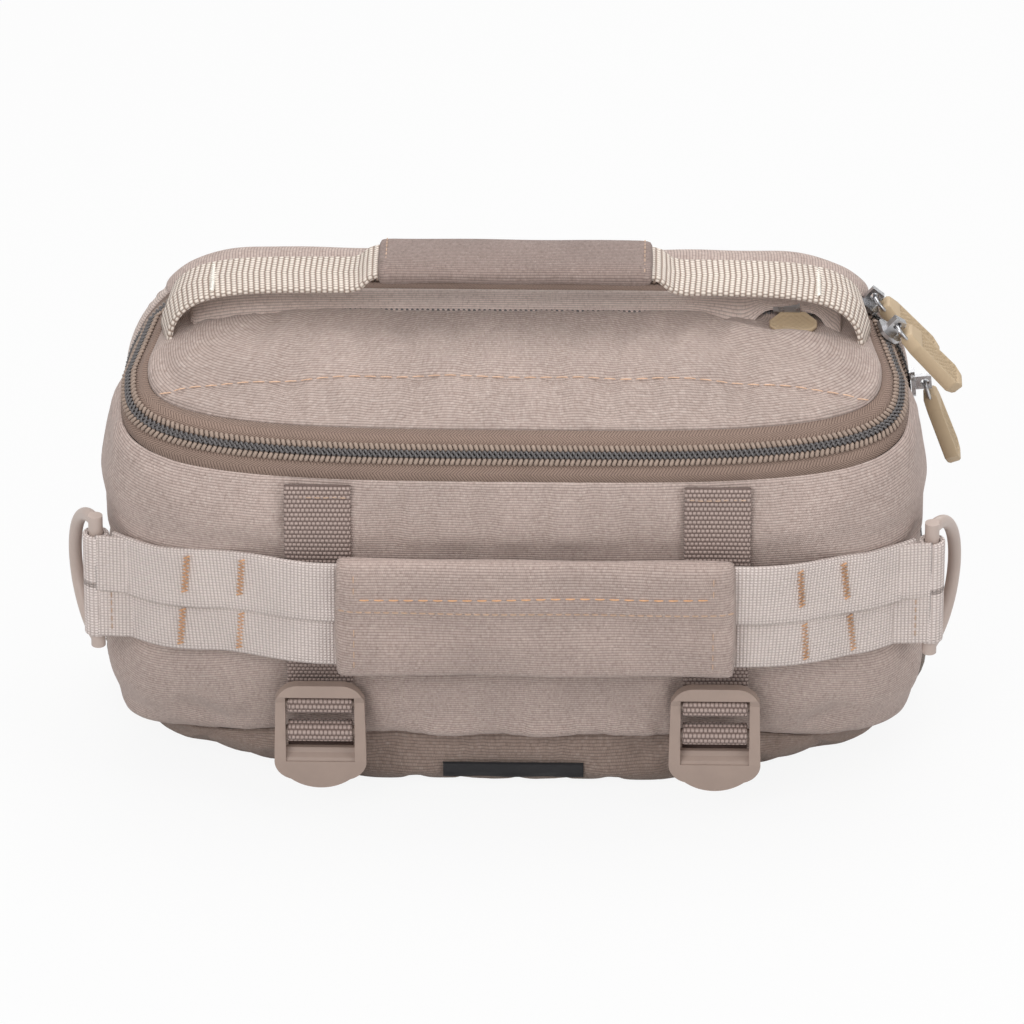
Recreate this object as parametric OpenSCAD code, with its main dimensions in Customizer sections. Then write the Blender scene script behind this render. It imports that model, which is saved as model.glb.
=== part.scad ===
// Binocular harness pack: a zipped chest pack with two compartments, a carry handle,
// a padded front grip between two D-rings and two strap adjusters at the lower front.
// Millimetres. The front faces -Y, the top faces +Z, the pack stands on z = 0.
// Depths are measured from the front plane of the pack; rest_depth moves them to the origin.

/* [Front compartment] */
// Width of the pack at its widest
pack_w = 249; // [225:1:280]
// Depth of the front compartment, from the front plane to the divider
front_depth = 66; // [62:1:80]
// Height of the zip's lower edge at the middle of the front
zip_z = 117; // [100:1:130]
// Rise of the zip line per mm of depth
zip_slope = 0.24; // [0.15:0.01:0.3]
// Thickness of the padded wall
wall_t = 3; // [2:0.5:4]
// How far the base is set back from the front plane
front_tuck = 20; // [12:1:26]
// How far each side draws in at the base
side_tuck = 13; // [6:1:18]
// How far the front rolls in below the zip
shoulder_front = 2.5; // [1:0.5:4]
// How far the sides roll in below the zip
shoulder_side = 2.5; // [2:0.5:5]
// How far the zip's ends draw in towards the divider
rear_draw = 6; // [3:0.5:8]
// Radius of the edge round the base
base_edge = 5; // [3:0.5:7]

/* [Bottom panel] */
// Height of the bottom panel's seam at the front
boot_h = 22.5; // [15:0.5:32]
// Thickness of the bottom panel's fabric
boot_t = 1.5; // [1:0.25:2.5]

/* [Zips] */
// Width of one fabric tape beside the teeth
tape_w = 5.6; // [4.5:0.1:6.2]
// Thickness of a tape
tape_t = 1.2; // [0.8:0.1:1.6]
// Width of one row of teeth
coil_w = 2.2; // [1.8:0.1:2.8]
// Height of the teeth above the tape
coil_h = 1.3; // [0.8:0.1:1.8]
// Gap between the two rows of teeth
coil_gap = 1.6; // [1.4:0.1:2]
// Slope of the zip band over its own width, as an angle from level
band_tilt = 48; // [38:1:55]

/* [Lid] */
// Rise of the lid's crown above the inner edge of its tape
lid_crown = 6; // [4:0.5:9]
// Width over which the lid curves up to its crown
lid_curve_w = 38; // [30:1:40]
// Thickness of the pocket flap
flap_t = 1.4; // [1:0.2:2]
// Depth of the flap's fold behind the front plane
flap_depth = 54; // [50:1:57]
// Height of the tunnel under the flap's fold
tunnel_h = 3.2; // [3:0.2:3.6]

/* [Handle] */
// Width of the handle's webbing
handle_w = 19; // [15:1:19]
// Thickness of all webbing
webbing_t = 1.6; // [1.2:0.1:2]
// Depth of the handle behind the front plane
handle_depth = 56; // [54:1:57]
// Height of the handle sleeve's middle
handle_z = 163.6; // [163:0.2:172]
// Length of the handle's sleeve
handle_sleeve_l = 83; // [60:1:110]
// Width of the handle's sleeve
handle_sleeve_w = 21; // [21:0.5:26]
// Thickness of the handle's sleeve
handle_sleeve_t = 6; // [5:0.5:9]

/* [Front band] */
// Width of each of the two webbings of the band
band_w = 20; // [15:1:25]
// How much higher the middle of the band lies than its ends
band_rise = 4; // [0:0.5:6]
// How far the two webbings overlap
band_lap = 4; // [2:0.5:6]
// Height of the band's middle
band_z = 72; // [62:1:82]
// Length of the padded grip
grip_l = 121; // [90:1:130]
// How far the grip lies off centre to the right
grip_shift = 7; // [0:1:8]
// Height of the padded grip
grip_h = 39.5; // [38:0.5:44]
// Thickness of the padded grip
grip_t = 8; // [6:0.5:12]
// How far the band stands off the front behind the grip
grip_gap = 6; // [5.5:0.5:12]

/* [Rings] */
// Thickness of the side D-rings
ring_wire = 4; // [3:0.25:5]
// Inner height of the side D-rings
ring_inner_h = 37; // [36.5:0.5:42]
// Turn of the side rings from straight outward towards the back
ring_turn = 68; // [45:1:70]

/* [Straps] */
// Width of the two straps down the front
strap_w = 20; // [15:1:22]
// Place of the straps on each side of the middle
strap_x = 60; // [45:1:75]
// Outer width of a buckle
buckle_w = 28; // [27:0.5:32]
// Height of a buckle with its tongue
buckle_h = 38; // [35:0.5:42]
// Thickness of a buckle's frame
buckle_t = 4.4; // [3.8:0.2:6]
// Radius of the buckle's bars
buckle_bar_r = 1.6; // [1.2:0.1:1.9]
// Height of the buckle's upper bar above the base
buckle_bar_z = 39.5; // [37:0.5:44]

/* [Label] */
// Width of the woven label
label_w = 43; // [30:1:60]
// Height of the woven label
label_h = 6; // [4:0.5:12]
// Thickness of the woven label
label_t = 0.8; // [0.5:0.1:1.2]

/* [Back compartment] */
// Depth of the back compartment, from the divider to the back panel
back_depth = 22; // [21:1:40]
// Half width of the back compartment
back_half_w = 119.5; // [116:0.5:130]
// Widening of each side per mm of height below the upper corners
back_flare = 0.09; // [0:0.01:0.12]
// Height of the back compartment
back_h = 146; // [140:1:148]
// Height of its lower edge above the ground
back_low = 3; // [2:0.5:6]
// Radius of the upper corners
back_r_top = 40; // [30:1:50]
// Radius of the lower corners
back_r_low = 20; // [12:1:26]
// Thickness of the back panel's padding
panel_t = 6; // [4:0.5:10]
// Thickness of the divider
divider_t = 3; // [2:0.5:5]
// Radius of the piping
piping_r = 2.2; // [1.5:0.1:3]
// Width of the rain flap over the back zip
rain_w = 16; // [14:1:20]
// Thickness of the rain flap
rain_t = 1.4; // [1:0.1:2]
// Place of the two harness tabs on each side of the middle
tab_x = 70; // [50:1:75]

/* [Runners] */
// Length of a zip slider
slider_l = 8.4; // [7:0.2:10]
// Width of a zip slider
slider_w = 7.6; // [7:0.2:8]
// Thickness of a slider's plates
slider_t = 1.2; // [1:0.1:1.6]
// Clearance between a slider and the zip
slider_clear = 0.6; // [0.5:0.1:0.8]
// Inner radius of the wire ring on a slider
wire_ring_r = 2.7; // [2.2:0.1:4]
// Thickness of the ring's wire
wire_t = 1.2; // [0.9:0.1:1.6]
// Length of a rubber pull
pull_l = 25; // [18:1:32]
// Width of a rubber pull
pull_w = 12; // [9:0.5:15]
// Thickness of a rubber pull
pull_t = 4.4; // [3.2:0.2:4.6]

/* [Hidden] */

seat = 0.3; // gap under a soft piece that lies on a curved one
rest_depth = 45; // depth of the origin behind the front plane
half_w = pack_w / 2;
side_depth_low = 50; // depth of the widest place at the base
side_depth_top = 42; // depth of the widest place at the zip
square_low = 2.6; // squareness of the outline at the base
square_top = 3.5; // squareness of the outline at the zip
arc_steps = 22; // segments round the front of an outline
side_steps = 2; // segments of a zip strip along each straight side stretch
shell_levels = 12; // rings between base and zip
tuck_end_front = 0.87; // share of the height at which the front reaches its front plane
tuck_end_side = 0.34; // share of the height at which the sides reach full width
shoulder_start = 0.75; // share of the height at which the sides start to roll in
boot_share = boot_h / zip_z;

fabric = [0.66, 0.59, 0.56];
boot_fabric = [0.42, 0.36, 0.33];
tape_fabric = [0.53, 0.45, 0.41];
tooth_grey = [0.3, 0.29, 0.29];
webbing_tan = [0.78, 0.71, 0.69];
strap_tan = [0.6, 0.52, 0.5];
plastic_tan = [0.65, 0.56, 0.52];
rubber_beige = [0.76, 0.68, 0.55];
steel = [0.72, 0.72, 0.73];
label_black = [0.15, 0.15, 0.16];
mesh_grey = [0.45, 0.42, 0.4];

// ---- shapes shared by many pieces

function mix(a, b, u) = a + (b - a) * u;
function signed_pow(v, e) = sign(v) * pow(abs(v), e);
function over(v, start, end) = max(0, (v - start) / (end - start));

// Skin over a list of closed rings, each with the same number of points, first and last ring capped.
module skin(rings) {
  n = len(rings[0]);
  last = (len(rings) - 1) * n;
  sides = [for (k = [0 : len(rings) - 2], i = [0 : n - 1]) let (a = k * n, j = (i + 1) % n)
    each [[a + i, a + n + j, a + j], [a + i, a + n + i, a + n + j]]];
  polyhedron(
    points = [for (ring = rings) each ring],
    faces = concat([[for (i = [0 : n - 1]) i]], sides, [[for (i = [n - 1 : -1 : 0]) last + i]]));
}

// Moves a piece from depths behind the front plane to the pack's own frame.
module placed() translate([0, -rest_depth, 0]) children();

// Same piece on the left (-1) or the right (1).
module on_side(side) {
  if (side < 0)
    mirror([1, 0, 0]) children();
  else
    children();
}

// ---- outline of the front compartment

// Points run from the left end of the divider round the front to its right end.
function outline(w, front, back, draw, squareness, side_depth, steps = 1) = [
  for (i = [0 : steps - 1]) let (u = i / steps)
    [-mix(w - draw, w, u), mix(back, side_depth, u)],
  for (i = [0 : arc_steps]) let (a = 180 * i / arc_steps)
    [-w * signed_pow(cos(a), 2 / squareness),
     side_depth - (side_depth - front) * pow(abs(sin(a)), 2 / squareness)],
  for (i = [1 : steps]) let (u = i / steps)
    [mix(w, w - draw, u), mix(side_depth, back, u)]
];

// t is the share of the way from the base (0) to the zip (1).
function front_inset(t) = front_tuck * pow(max(0, 1 - t / tuck_end_front), 1.7)
  + shoulder_front * pow(over(t, tuck_end_front, 1), 2);
function side_inset(t) = side_tuck * pow(max(0, 1 - t / tuck_end_side), 2)
  + shoulder_side * pow(over(t, shoulder_start, 1), 2);
function side_depth(t) = mix(side_depth_low, side_depth_top, t);
function squareness(t) = mix(square_low, square_top, t);
function draw_in(t) = rear_draw * mix(0.4, 1, t);

// A ring of the front compartment, drawn in by inset on every side.
function shell_ring(t, inset, lift = 0) = [
  for (p = outline(half_w - side_inset(t) - inset, front_inset(t) + inset, front_depth - inset,
                   draw_in(t), squareness(t), side_depth(t)))
    [p[0], p[1], lift + inset * (1 - t) + t * zip_z + zip_slope * t * t * (p[1] - front_inset(t))]
];

base_share = base_edge / zip_z;
// Rings round the base's edge, from the flat underside up to the walls.
function base_rings(inset) = [for (a = [0, 45])
  [for (p = shell_ring(0, inset + base_edge * (1 - sin(a))))
    [p[0], p[1], inset + base_edge * (1 - cos(a))]]];

// Depth of the front face at height share t and place x.
function face_depth(t, x) = let (w = half_w - side_inset(t), s = squareness(t))
  side_depth(t) - (side_depth(t) - front_inset(t)) * pow(1 - pow(abs(x) / w, s), 1 / s);

function levels(from, to, count) = [for (k = [0 : count]) mix(from, to, k / count)];

square_from = 12; // inset at which a ring on the lid starts to square off towards its rear
square_over = 40; // inset over which it does so
square_gap = 6; // how far the squared ring's sides end before the divider

// A ring on the zip line, drawn in by inset and raised by rise.
function zip_ring(inset, rise, back_inset = 0, steps = 1) = [
  for (p = outline(half_w - shoulder_side - inset, shoulder_front + inset, front_depth - back_inset,
                   rear_draw, square_top,
                   mix(side_depth_top, front_depth - square_gap,
                       over(inset, square_from, square_from + square_over)), steps))
    [p[0], p[1], zip_z + zip_slope * (p[1] - shoulder_front) + rise]
];

// A strip along the zip line. The profile lists [distance up the band, height above the band].
// first and last leave out that many points at the left and at the right end.
module zip_strip(profile, first = 0, last = 0, back_inset = 0) {
  rings = [for (p = profile)
    let (inset = p[0] * cos(band_tilt) - p[1] * sin(band_tilt),
         rise = p[0] * sin(band_tilt) + p[1] * cos(band_tilt))
    zip_ring(inset, rise - zip_slope * inset, back_inset, side_steps)];
  count = len(rings[0]);
  skin([for (i = [first : count - 1 - last]) [for (ring = rings) ring[i]]]);
}

coil_lift = 0.1; // height of the teeth's underside above the tape
coil_start = tape_w;
coil_end = tape_w + coil_w;
band_width = 2 * (tape_w + coil_w) + coil_gap;

function box_profile(from, to, low, high) = [[from, low], [to, low], [to, high], [from, high]];
function coil_profile(from, to) = let (m = (from + to) / 2)
  [[from, coil_lift], [to, coil_lift], [to, coil_h * 0.6], [m, coil_h], [from, coil_h * 0.6]];

// ---- front compartment

module front_shell() {
  low = [for (t = levels(base_share, boot_share, 2)) shell_ring(t, boot_t)];
  high = [for (t = levels(boot_share, 1, shell_levels - 3)) shell_ring(t, 0)];
  inner = [for (t = levels(1, base_share, 7)) shell_ring(t, boot_t + wall_t)];
  color(fabric) placed() skin(concat(base_rings(boot_t), low, high, inner));
}

module bottom_panel() {
  outer = [for (t = levels(base_share, boot_share - 0.001, 2)) shell_ring(t, 0)];
  lining = boot_t - 0.15; // leaves a little room round the shell inside
  inner = [for (t = levels(boot_share, base_share, 2)) shell_ring(t, lining)];
  floor_rings = [base_rings(lining)[1], base_rings(lining)[0]];
  color(boot_fabric) placed() skin(concat(base_rings(0), outer, inner, floor_rings));
}

// The tapes start and end where their undersides meet the walls that they're sewn to.
tape_first = (tape_t * (cos(band_tilt) + zip_slope * sin(band_tilt)) + 0.1)
  / (sin(band_tilt) - zip_slope * cos(band_tilt));
tape_last = band_width - (tape_t * sin(band_tilt) + 0.1) / cos(band_tilt);

module front_zip_tape()
  color(tape_fabric) placed() zip_strip(box_profile(tape_first, coil_end, -tape_t, 0));

module front_zip_coil()
  color(tooth_grey) placed() zip_strip(coil_profile(coil_start, coil_end));

// ---- lid, hinged at the top of the divider

lid_gap = 0.4; // clearance between the lid and the divider
lid_stretch = front_depth - side_depth_top; // depth of the straight part of the lid's sides
crown_power = 2.8; // how fast the lid's edge curves up to its crown
lid_levels = 6;
lid_inset = band_width * cos(band_tilt);
lid_rise = band_width * sin(band_tilt) - zip_slope * lid_inset;
lid_start = shoulder_front + lid_inset; // depth of the lid's front edge

// Ring of the lid at share u of its curve, raised above the surface by raise.
function lid_ring_at(u, raise = 0, inset = 0) =
  zip_ring(lid_inset + lid_curve_w * u + inset,
           lid_rise + lid_crown * (1 - pow(1 - u, crown_power)) + raise, lid_gap);

// Height of the lid's middle at a given depth.
function lid_middle_z(depth) =
  let (u = min(1, (depth - lid_start) / lid_curve_w))
    zip_z + zip_slope * (depth - shoulder_front) + lid_rise + lid_crown * (1 - pow(1 - u, crown_power));

lid_half = half_w - shoulder_side - lid_inset; // half width of the lid at its widest

// Height of the lid's upper face at any place, its curved sides too.
function lid_top_z(x, depth) =
  let (side = lid_half - rear_draw * over(depth, side_depth_top, front_depth) - abs(x),
       u = min(1, side / lid_curve_w, (depth - lid_start) / lid_curve_w))
    zip_z + zip_slope * (depth - shoulder_front) + lid_rise + lid_crown * (1 - pow(1 - u, crown_power));

module lid_shell() {
  inner = [for (u = levels(1, 0, lid_levels)) lid_ring_at(u, -wall_t, wall_t * 0.5)];
  outer = [for (u = levels(0, 1, lid_levels)) lid_ring_at(u)];
  color(fabric) placed() skin(concat(inner, outer));
}

flap_w = 2 * (lid_half - rear_draw) - 8;
flap_end = front_depth - 1; // depth of the flap's sewn edge
flap_steps = 24;
tunnel_depth = 7.4; // depth of the tunnel under the fold
pocket_coil_depth = flap_depth + 1.4;
pocket_coil_w = 4;
pocket_coil_t = 0.8;
pocket_reach = 70; // reach of the pocket's teeth to the left
pocket_x = 82; // place of the pocket's slider when the pocket is shut

// Fabric strip folded over the pocket's zip; its front edge stands above the lid.
module lid_flap() {
  sewn = flap_depth + tunnel_depth;
  profile = [[flap_end, seat], [flap_end, seat + flap_t], [sewn, tunnel_h + flap_t],
             [flap_depth, tunnel_h + flap_t], [flap_depth, tunnel_h], [sewn, tunnel_h], [sewn, seat]];
  color(fabric) placed() skin([for (x = levels(-flap_w / 2, flap_w / 2, flap_steps))
    [for (p = profile) [x, p[0], lid_top_z(x, p[0]) + p[1]]]]);
}

// Moves a piece onto the lid's middle at the flap's fold, sloping with the lid.
module on_pocket()
  translate([0, flap_depth, lid_middle_z(flap_depth)]) rotate([atan(zip_slope), 0, 0]) children();

module pocket_coil()
  color(tooth_grey) placed() on_pocket()
    translate([-pocket_reach, pocket_coil_depth - flap_depth, 0.1])
      cube([pocket_reach + pocket_x + 6, pocket_coil_w, pocket_coil_t]);

module lid_zip_tape() {
  start = band_width - coil_end;
  color(tape_fabric) placed()
    zip_strip(box_profile(start, tape_last, -tape_t, 0), 0, 1, lid_gap);
}

module lid_zip_coil() {
  start = band_width - coil_end;
  color(tooth_grey) placed() zip_strip(coil_profile(start, start + coil_w), 0, 1, lid_gap);
}

// ---- carry handle

handle_draw = rear_draw * over(handle_depth, side_depth_top, front_depth);
handle_reach = lid_half - handle_draw - seat; // half span at the handle's feet
handle_foot_z = lid_top_z(handle_reach - webbing_t / 2, handle_depth) + seat;
handle_steps = 28;
handle_drop = 3.2; // how much lower the webbing lies beside the sleeve
handle_step = 8; // length over which it drops

// Height of the handle's middle line at place x.
function handle_line_z(x) =
  let (u = min(1, over(abs(x), handle_sleeve_l / 2, handle_sleeve_l / 2 + handle_step)),
       top = handle_z - handle_drop * u * u * (3 - 2 * u))
    handle_foot_z + (top - handle_foot_z) * pow(max(0, 1 - pow(abs(x) / handle_reach, 10)), 0.5);

module handle_webbing() {
  flat = handle_sleeve_l / 2 + 1;
  xs = [for (k = [-handle_steps : handle_steps]) handle_reach * sin(90 * k / handle_steps)];
  line = [for (x = xs) [x, abs(x) < flat ? handle_z : min(handle_z, handle_line_z(x))]];
  last = len(line) - 1;
  color(webbing_tan) placed() skin([
    for (k = [0 : last])
      let (ahead = line[min(last, k + 1)], behind = line[max(0, k - 1)],
           along = (ahead - behind) / norm(ahead - behind),
           up = [-along[1], along[0]] * webbing_t / 2,
           low = 1 - (line[k][1] - handle_foot_z) / (handle_z - handle_foot_z))
        [for (c = [[-1, -1], [1, -1], [1, 1], [-1, 1]])
          let (dy = c[0] * handle_w / 2)
            [line[k][0] + c[1] * up[0] - sign(line[k][0]) * low * dy * rear_draw / lid_stretch,
             handle_depth + dy,
             line[k][1] + c[1] * up[1] + low * dy * zip_slope]]
  ]);
}

module stadium(w, t) {
  square([w - t, t], center = true);
  for (side = [-1, 1]) translate([side * (w - t) / 2, 0]) circle(d = t, $fn = 32);
}

module handle_sleeve()
  color(fabric) placed() translate([-handle_sleeve_l / 2, handle_depth, handle_z])
    rotate([90, 0, 90]) linear_extrude(handle_sleeve_l) difference() {
      stadium(handle_sleeve_w + handle_sleeve_t / 2, handle_sleeve_t);
      square([handle_w + 0.2, webbing_t + 0.2], center = true);
    }

// ---- front band with its grip

band_steps = 30;
loop_clear = 0.3; // clearance of a webbing loop round its bar
band_low_z = band_z - band_w + band_lap / 2; // lower edge of the lower webbing
ring_x = half_w + 2; // place of a side ring's bar
ring_depth = 20; // depth of a side ring's bar

band_end_angle = 25; // place of the band's ends round the front, from level
band_peel_angle = 45; // angle from the middle at which the ends start to leave the shell
grip_margin = 3; // length beside the grip over which the band stays clear
band_reach = 34; // length over which the band comes back to the shell beside the grip
band_peel = 2; // how far the band's ends stand off the shell

// Line of the band round the front, off the shell by off, standing clear behind the grip.
function band_line(off) =
  let (t = band_z / zip_z, s = squareness(t), d = side_depth(t), f = front_inset(t) - seat)
    [for (k = [0 : band_steps])
      let (a = mix(band_end_angle, 180 - band_end_angle, k / band_steps),
           w = half_w + off + band_peel * pow(over(abs(a - 90), band_peel_angle, 90 - band_end_angle), 2),
           x = -w * signed_pow(cos(a), 2 / s),
           y = d - (d - f + off) * pow(sin(a), 2 / s),
           clear = grip_l / 2 + grip_margin,
           u = 1 - min(1, over(abs(x - grip_shift), clear, clear + band_reach)))
        [x, mix(y, f - grip_gap - off, u * u * (3 - 2 * u))]];

// Rise of the band towards the middle of the front.
function band_lift(x) = let (u = min(1, over(abs(x), half_w * 0.55, half_w * 0.95)))
  band_rise * (1 - u * u * (3 - 2 * u));

// How far the front comes forward over the band's rise.
function band_forward(x) = front_inset(band_z / zip_z) - front_inset((band_z + band_lift(x)) / zip_z);

module band_strip(z_low, height, near) {
  inner = band_line(near);
  outer = band_line(near + webbing_t);
  color(webbing_tan) placed() skin([for (k = [0 : band_steps])
    let (x = inner[k][0], low = z_low + band_lift(x), far = outer[k][1] - band_forward(x))
      [[x, inner[k][1] - band_forward(x), low + height], [x, inner[k][1] - band_forward(x), low],
       [outer[k][0], far, low], [outer[k][0], far, low + height]]]);
}

module band_lower() band_strip(band_low_z, band_w, 0);
module band_upper() band_strip(band_low_z + band_w - band_lap, band_w, webbing_t);

module grip_sleeve() {
  depth = front_inset((band_z + band_rise) / zip_z) - seat - grip_gap - webbing_t;
  front = 1.2; // how much thicker the padding is in front of the webbing
  color(fabric) placed() translate([grip_shift - grip_l / 2, depth, band_z + band_rise])
    rotate([90, 0, 90]) linear_extrude(grip_l) difference() {
      translate([-front, 0]) rotate(90) stadium(grip_h, grip_t);
      square([2 * webbing_t + 0.4, 2 * band_w - band_lap + 0.4], center = true);
    }
}

module band_loop(side)
  color(webbing_tan) placed() on_side(side) translate([ring_x, ring_depth, band_low_z])
    difference() {
      cylinder(r = loop_outer_r, h = loop_h, $fn = 48);
      translate([0, 0, -1]) cylinder(r = loop_outer_r - webbing_t, h = loop_h + 2, $fn = 48);
    }

loop_h = 2 * band_w - band_lap;
loop_outer_r = ring_wire / 2 + 0.2 + loop_clear + webbing_t;

// D-shaped ring round an upright bar; the bow reaches out along +X.
module d_ring(inner_h, wire) {
  bow_r = (inner_h + wire) / 2;
  cylinder(d = wire + 0.4, h = inner_h + 2 * wire + 0.4, center = true, $fn = 32);
  rotate([90, 0, 0]) rotate_extrude(angle = 180, start = -90, $fn = 64)
    translate([bow_r, 0]) circle(d = wire, $fn = 24);
}

module side_ring(side)
  color(plastic_tan) placed() on_side(side) translate([ring_x, ring_depth, band_z])
    rotate(ring_turn) d_ring(ring_inner_h, ring_wire);

// ---- straps and buckles on the front

// A strap down the front face between two heights. It lies off the face by seat and peels away by
// peel towards the height peel_z.
module face_strap(x_low, x_high, z_low, z_high, thick, steps, peel = 0, peel_low = true) {
  function stand_off(z) = seat + peel * pow(peel_low ? over(z, z_high, z_low) : over(z, z_low, z_high), 2);
  function at(x, z, out) = [x, face_depth(z / zip_z, x) - stand_off(z) - out, z];
  skin([for (k = [0 : steps]) let (z = mix(z_low, z_high, k / steps))
    [at(x_high, z, 0), at(x_low, z, 0), at(x_low, z, thick), at(x_high, z, thick)]]);
}

strap_shift = 1.5; // how far both straps lie to the right
function strap_mid(side) = side * strap_x + strap_shift;
loop_in_r = buckle_bar_r + loop_clear;
loop_out_r = loop_in_r + webbing_t;
bar_pitch = 10; // distance between the buckle's two bars
bar_stand_off = loop_out_r + 2.6; // upper bar's distance from the face behind it
bar_depth = face_depth(buckle_bar_z / zip_z, strap_x - strap_w / 2) - bar_stand_off;
window_half = strap_w / 2 + 0.5;
peel_z = 65; // height at which a strap starts to leave the face for its buckle
strap_foot = bar_depth + loop_out_r - 0.2; // depth of the strap's rear face beside the bar
loop_w = strap_w - 0.4;

module bar_loop() rotate([0, 90, 0]) difference() {
  cylinder(r = loop_out_r, h = loop_w, center = true, $fn = 48);
  cylinder(r = loop_in_r, h = loop_w + 1, center = true, $fn = 48);
}

// The strap runs down the face, leaves it above the buckle and loops round the upper bar.
module strap(side) {
  x = strap_mid(side);
  function rear(px, z) = mix(face_depth(z / zip_z, px) - seat, strap_foot,
                             pow(over(z, peel_z, buckle_bar_z), 1.5));
  function at(edge, z, out) = let (px = x + edge * strap_w / 2) [px, rear(px, z) - out, z];
  color(strap_tan) placed() {
    skin([for (z = levels(buckle_bar_z, zip_z - 0.5, 12))
      [at(1, z, 0), at(-1, z, 0), at(-1, z, webbing_t - 0.2), at(1, z, webbing_t - 0.2)]]);
    translate([x, bar_depth, buckle_bar_z]) bar_loop();
  }
}

buckle_top = 8; // height of the frame above the upper bar
tongue_h = 3; // height of the tongue below the frame
tongue_half = 9.5;
tongue_r = 14; // radius of the tongue's lower edge
buckle_low = buckle_h - buckle_top - tongue_h; // height of the frame below the upper bar
plate_z = 7 - buckle_low; // upper edge of the lever plate
window_z = 3.6; // upper edge of the window
arch = 2; // how far the frame's top stands forward

// Outline of a buckle's frame, as seen from the front, round the upper bar at the origin.
module buckle_outline(top, low) {
  r = 7; // corner radius
  half = buckle_w / 2;
  narrow = half - 0.5; // half width at the top
  polygon([[r - half, -low], [half - r, -low], [half, r - low], [narrow, top - r], [narrow - r, top],
           [r - narrow, top], [-narrow, top - r], [-half, r - low]]);
  for (sx = [-1, 1]) {
    translate([sx * (half - r), r - low]) circle(r = r, $fn = 48);
    translate([sx * (narrow - r), top - r]) circle(r = r, $fn = 48);
  }
}

// Ladder lock: two bars in a frame whose top is arched forward, over a lever plate whose upper
// side slopes back under the webbing and whose tongue stands out below.
module buckle(side) {
  half_t = buckle_t / 2;
  foot = -buckle_low - tongue_h; // lowest edge
  color(plastic_tan) placed() translate([strap_mid(side), bar_depth, buckle_bar_z]) {
    intersection() {
      rotate([90, 0, 0]) linear_extrude(4 * buckle_t, center = true) difference() {
        union() {
          buckle_outline(buckle_top, buckle_low);
          intersection() {
            translate([0, tongue_r + foot]) circle(r = tongue_r, $fn = 64);
            translate([-tongue_half, foot]) square([2 * tongue_half, tongue_h + 5]);
          }
        }
        translate([-window_half, plate_z]) square([2 * window_half, window_z - plate_z]);
      }
      rotate([90, 0, 90]) linear_extrude(2 * buckle_w, center = true)
        polygon([[-half_t, plate_z], [-half_t + 1.4, foot - 1], [half_t, foot - 1], [half_t, 0],
                 [1 - arch, buckle_top - 4], [1 - arch, buckle_top + 1], [-half_t - arch, buckle_top + 1],
                 [-half_t - arch, buckle_top - 4], [-half_t, 1]]);
    }
    rotate([90, 0, 90]) linear_extrude(2 * window_half + 1, center = true)
      polygon([[-half_t + 0.1, plate_z - 0.5], [half_t, plate_z - 0.5], [half_t, plate_z + 3.4],
               [half_t - 1.2, plate_z + 3.2], [0.2, plate_z + 1.9], [-1.1, plate_z + 0.8]]);
    for (z = [0, -bar_pitch]) translate([0, 0, z]) rotate([0, 90, 0])
      cylinder(r = buckle_bar_r, h = 2 * window_half + 1, center = true, $fn = 32);
  }
}

module adjuster_loop(side)
  color(strap_tan) placed() translate([strap_mid(side), bar_depth, buckle_bar_z - bar_pitch])
    bar_loop();

// Lower strap, from the base edge up to the back of the loop round the lower bar.
module adjuster_strap(side) {
  x = strap_mid(side);
  top_z = buckle_bar_z - bar_pitch - loop_out_r + 0.3;
  lift = face_depth(top_z / zip_z, strap_x - strap_w / 2) - seat - bar_depth - loop_out_r;
  color(strap_tan) placed()
    face_strap(x - strap_w / 2, x + strap_w / 2, base_edge, top_z, webbing_t, 6, lift, false);
}

module label()
  color(label_black) placed()
    face_strap(-label_w / 2, label_w / 2, base_edge, base_edge + label_h, label_t, 2);

// ---- back compartment, hinged along its lower edge

back_start = front_depth + divider_t; // depth of the divider's rear face
coil_low = back_start + tape_w;
coil_back = coil_low + 2 * coil_w + coil_gap;
gusset_start = coil_back + tape_w;
panel_start = back_start + back_depth;
zip_mid = coil_low + coil_w + coil_gap / 2;
gusset_t = 2.4;
back_hinge_z = 8; // height of the back's hinge line and of its panel's lower edge
flare_z = back_h - back_r_top; // height below which the sides widen
top_arc = 12; // segments round an upper corner
low_arc = 5; // segments round a lower corner

function arc_points(cx, cz, r, from, to, steps) =
  [for (k = [0 : steps]) let (a = mix(from, to, k / steps)) [cx + r * cos(a), cz + r * sin(a)]];

// Outline of the back from its lower left over the top to its lower right, moved out by off.
function back_outline(off, low = back_low) =
  let (lx = back_half_w - back_r_low, tx = back_half_w - back_r_top, tz = back_h - back_r_top,
       points = concat(arc_points(-lx, low + back_r_low, back_r_low + off, 270, 180, low_arc),
           arc_points(-tx, tz, back_r_top + off, 180, 90, top_arc),
           arc_points(tx, tz, back_r_top + off, 90, 0, top_arc),
           arc_points(lx, low + back_r_low, back_r_low + off, 0, -90, low_arc)))
    [for (p = points) [p[0] + sign(p[0]) * back_flare * max(0, flare_z - p[1]), p[1]]];

function back_ring_at(depth, off, low = back_low) =
  [for (p = back_outline(off, low)) [p[0], depth, p[1]]];

// A strip round the back. The profile lists [depth, distance out from the outline].
module back_strip(profile, first = 0, last = 0) {
  rings = [for (p = profile) back_ring_at(p[0], p[1])];
  count = len(rings[0]);
  skin([for (i = [first : count - 1 - last]) [for (ring = rings) ring[i]]]);
}

module divider()
  color(mesh_grey) placed() skin([back_ring_at(front_depth, 0), back_ring_at(back_start, 0)]);

// The floor ends a little way before the lower corners.
rear_floor_w = 2 * (back_half_w - back_r_low + back_flare * (flare_z - back_low)) - 4;

module rear_floor()
  color(boot_fabric) placed()
    translate([-rear_floor_w / 2, back_start, back_low])
      cube([rear_floor_w, back_depth - 0.6, 3]);

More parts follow.
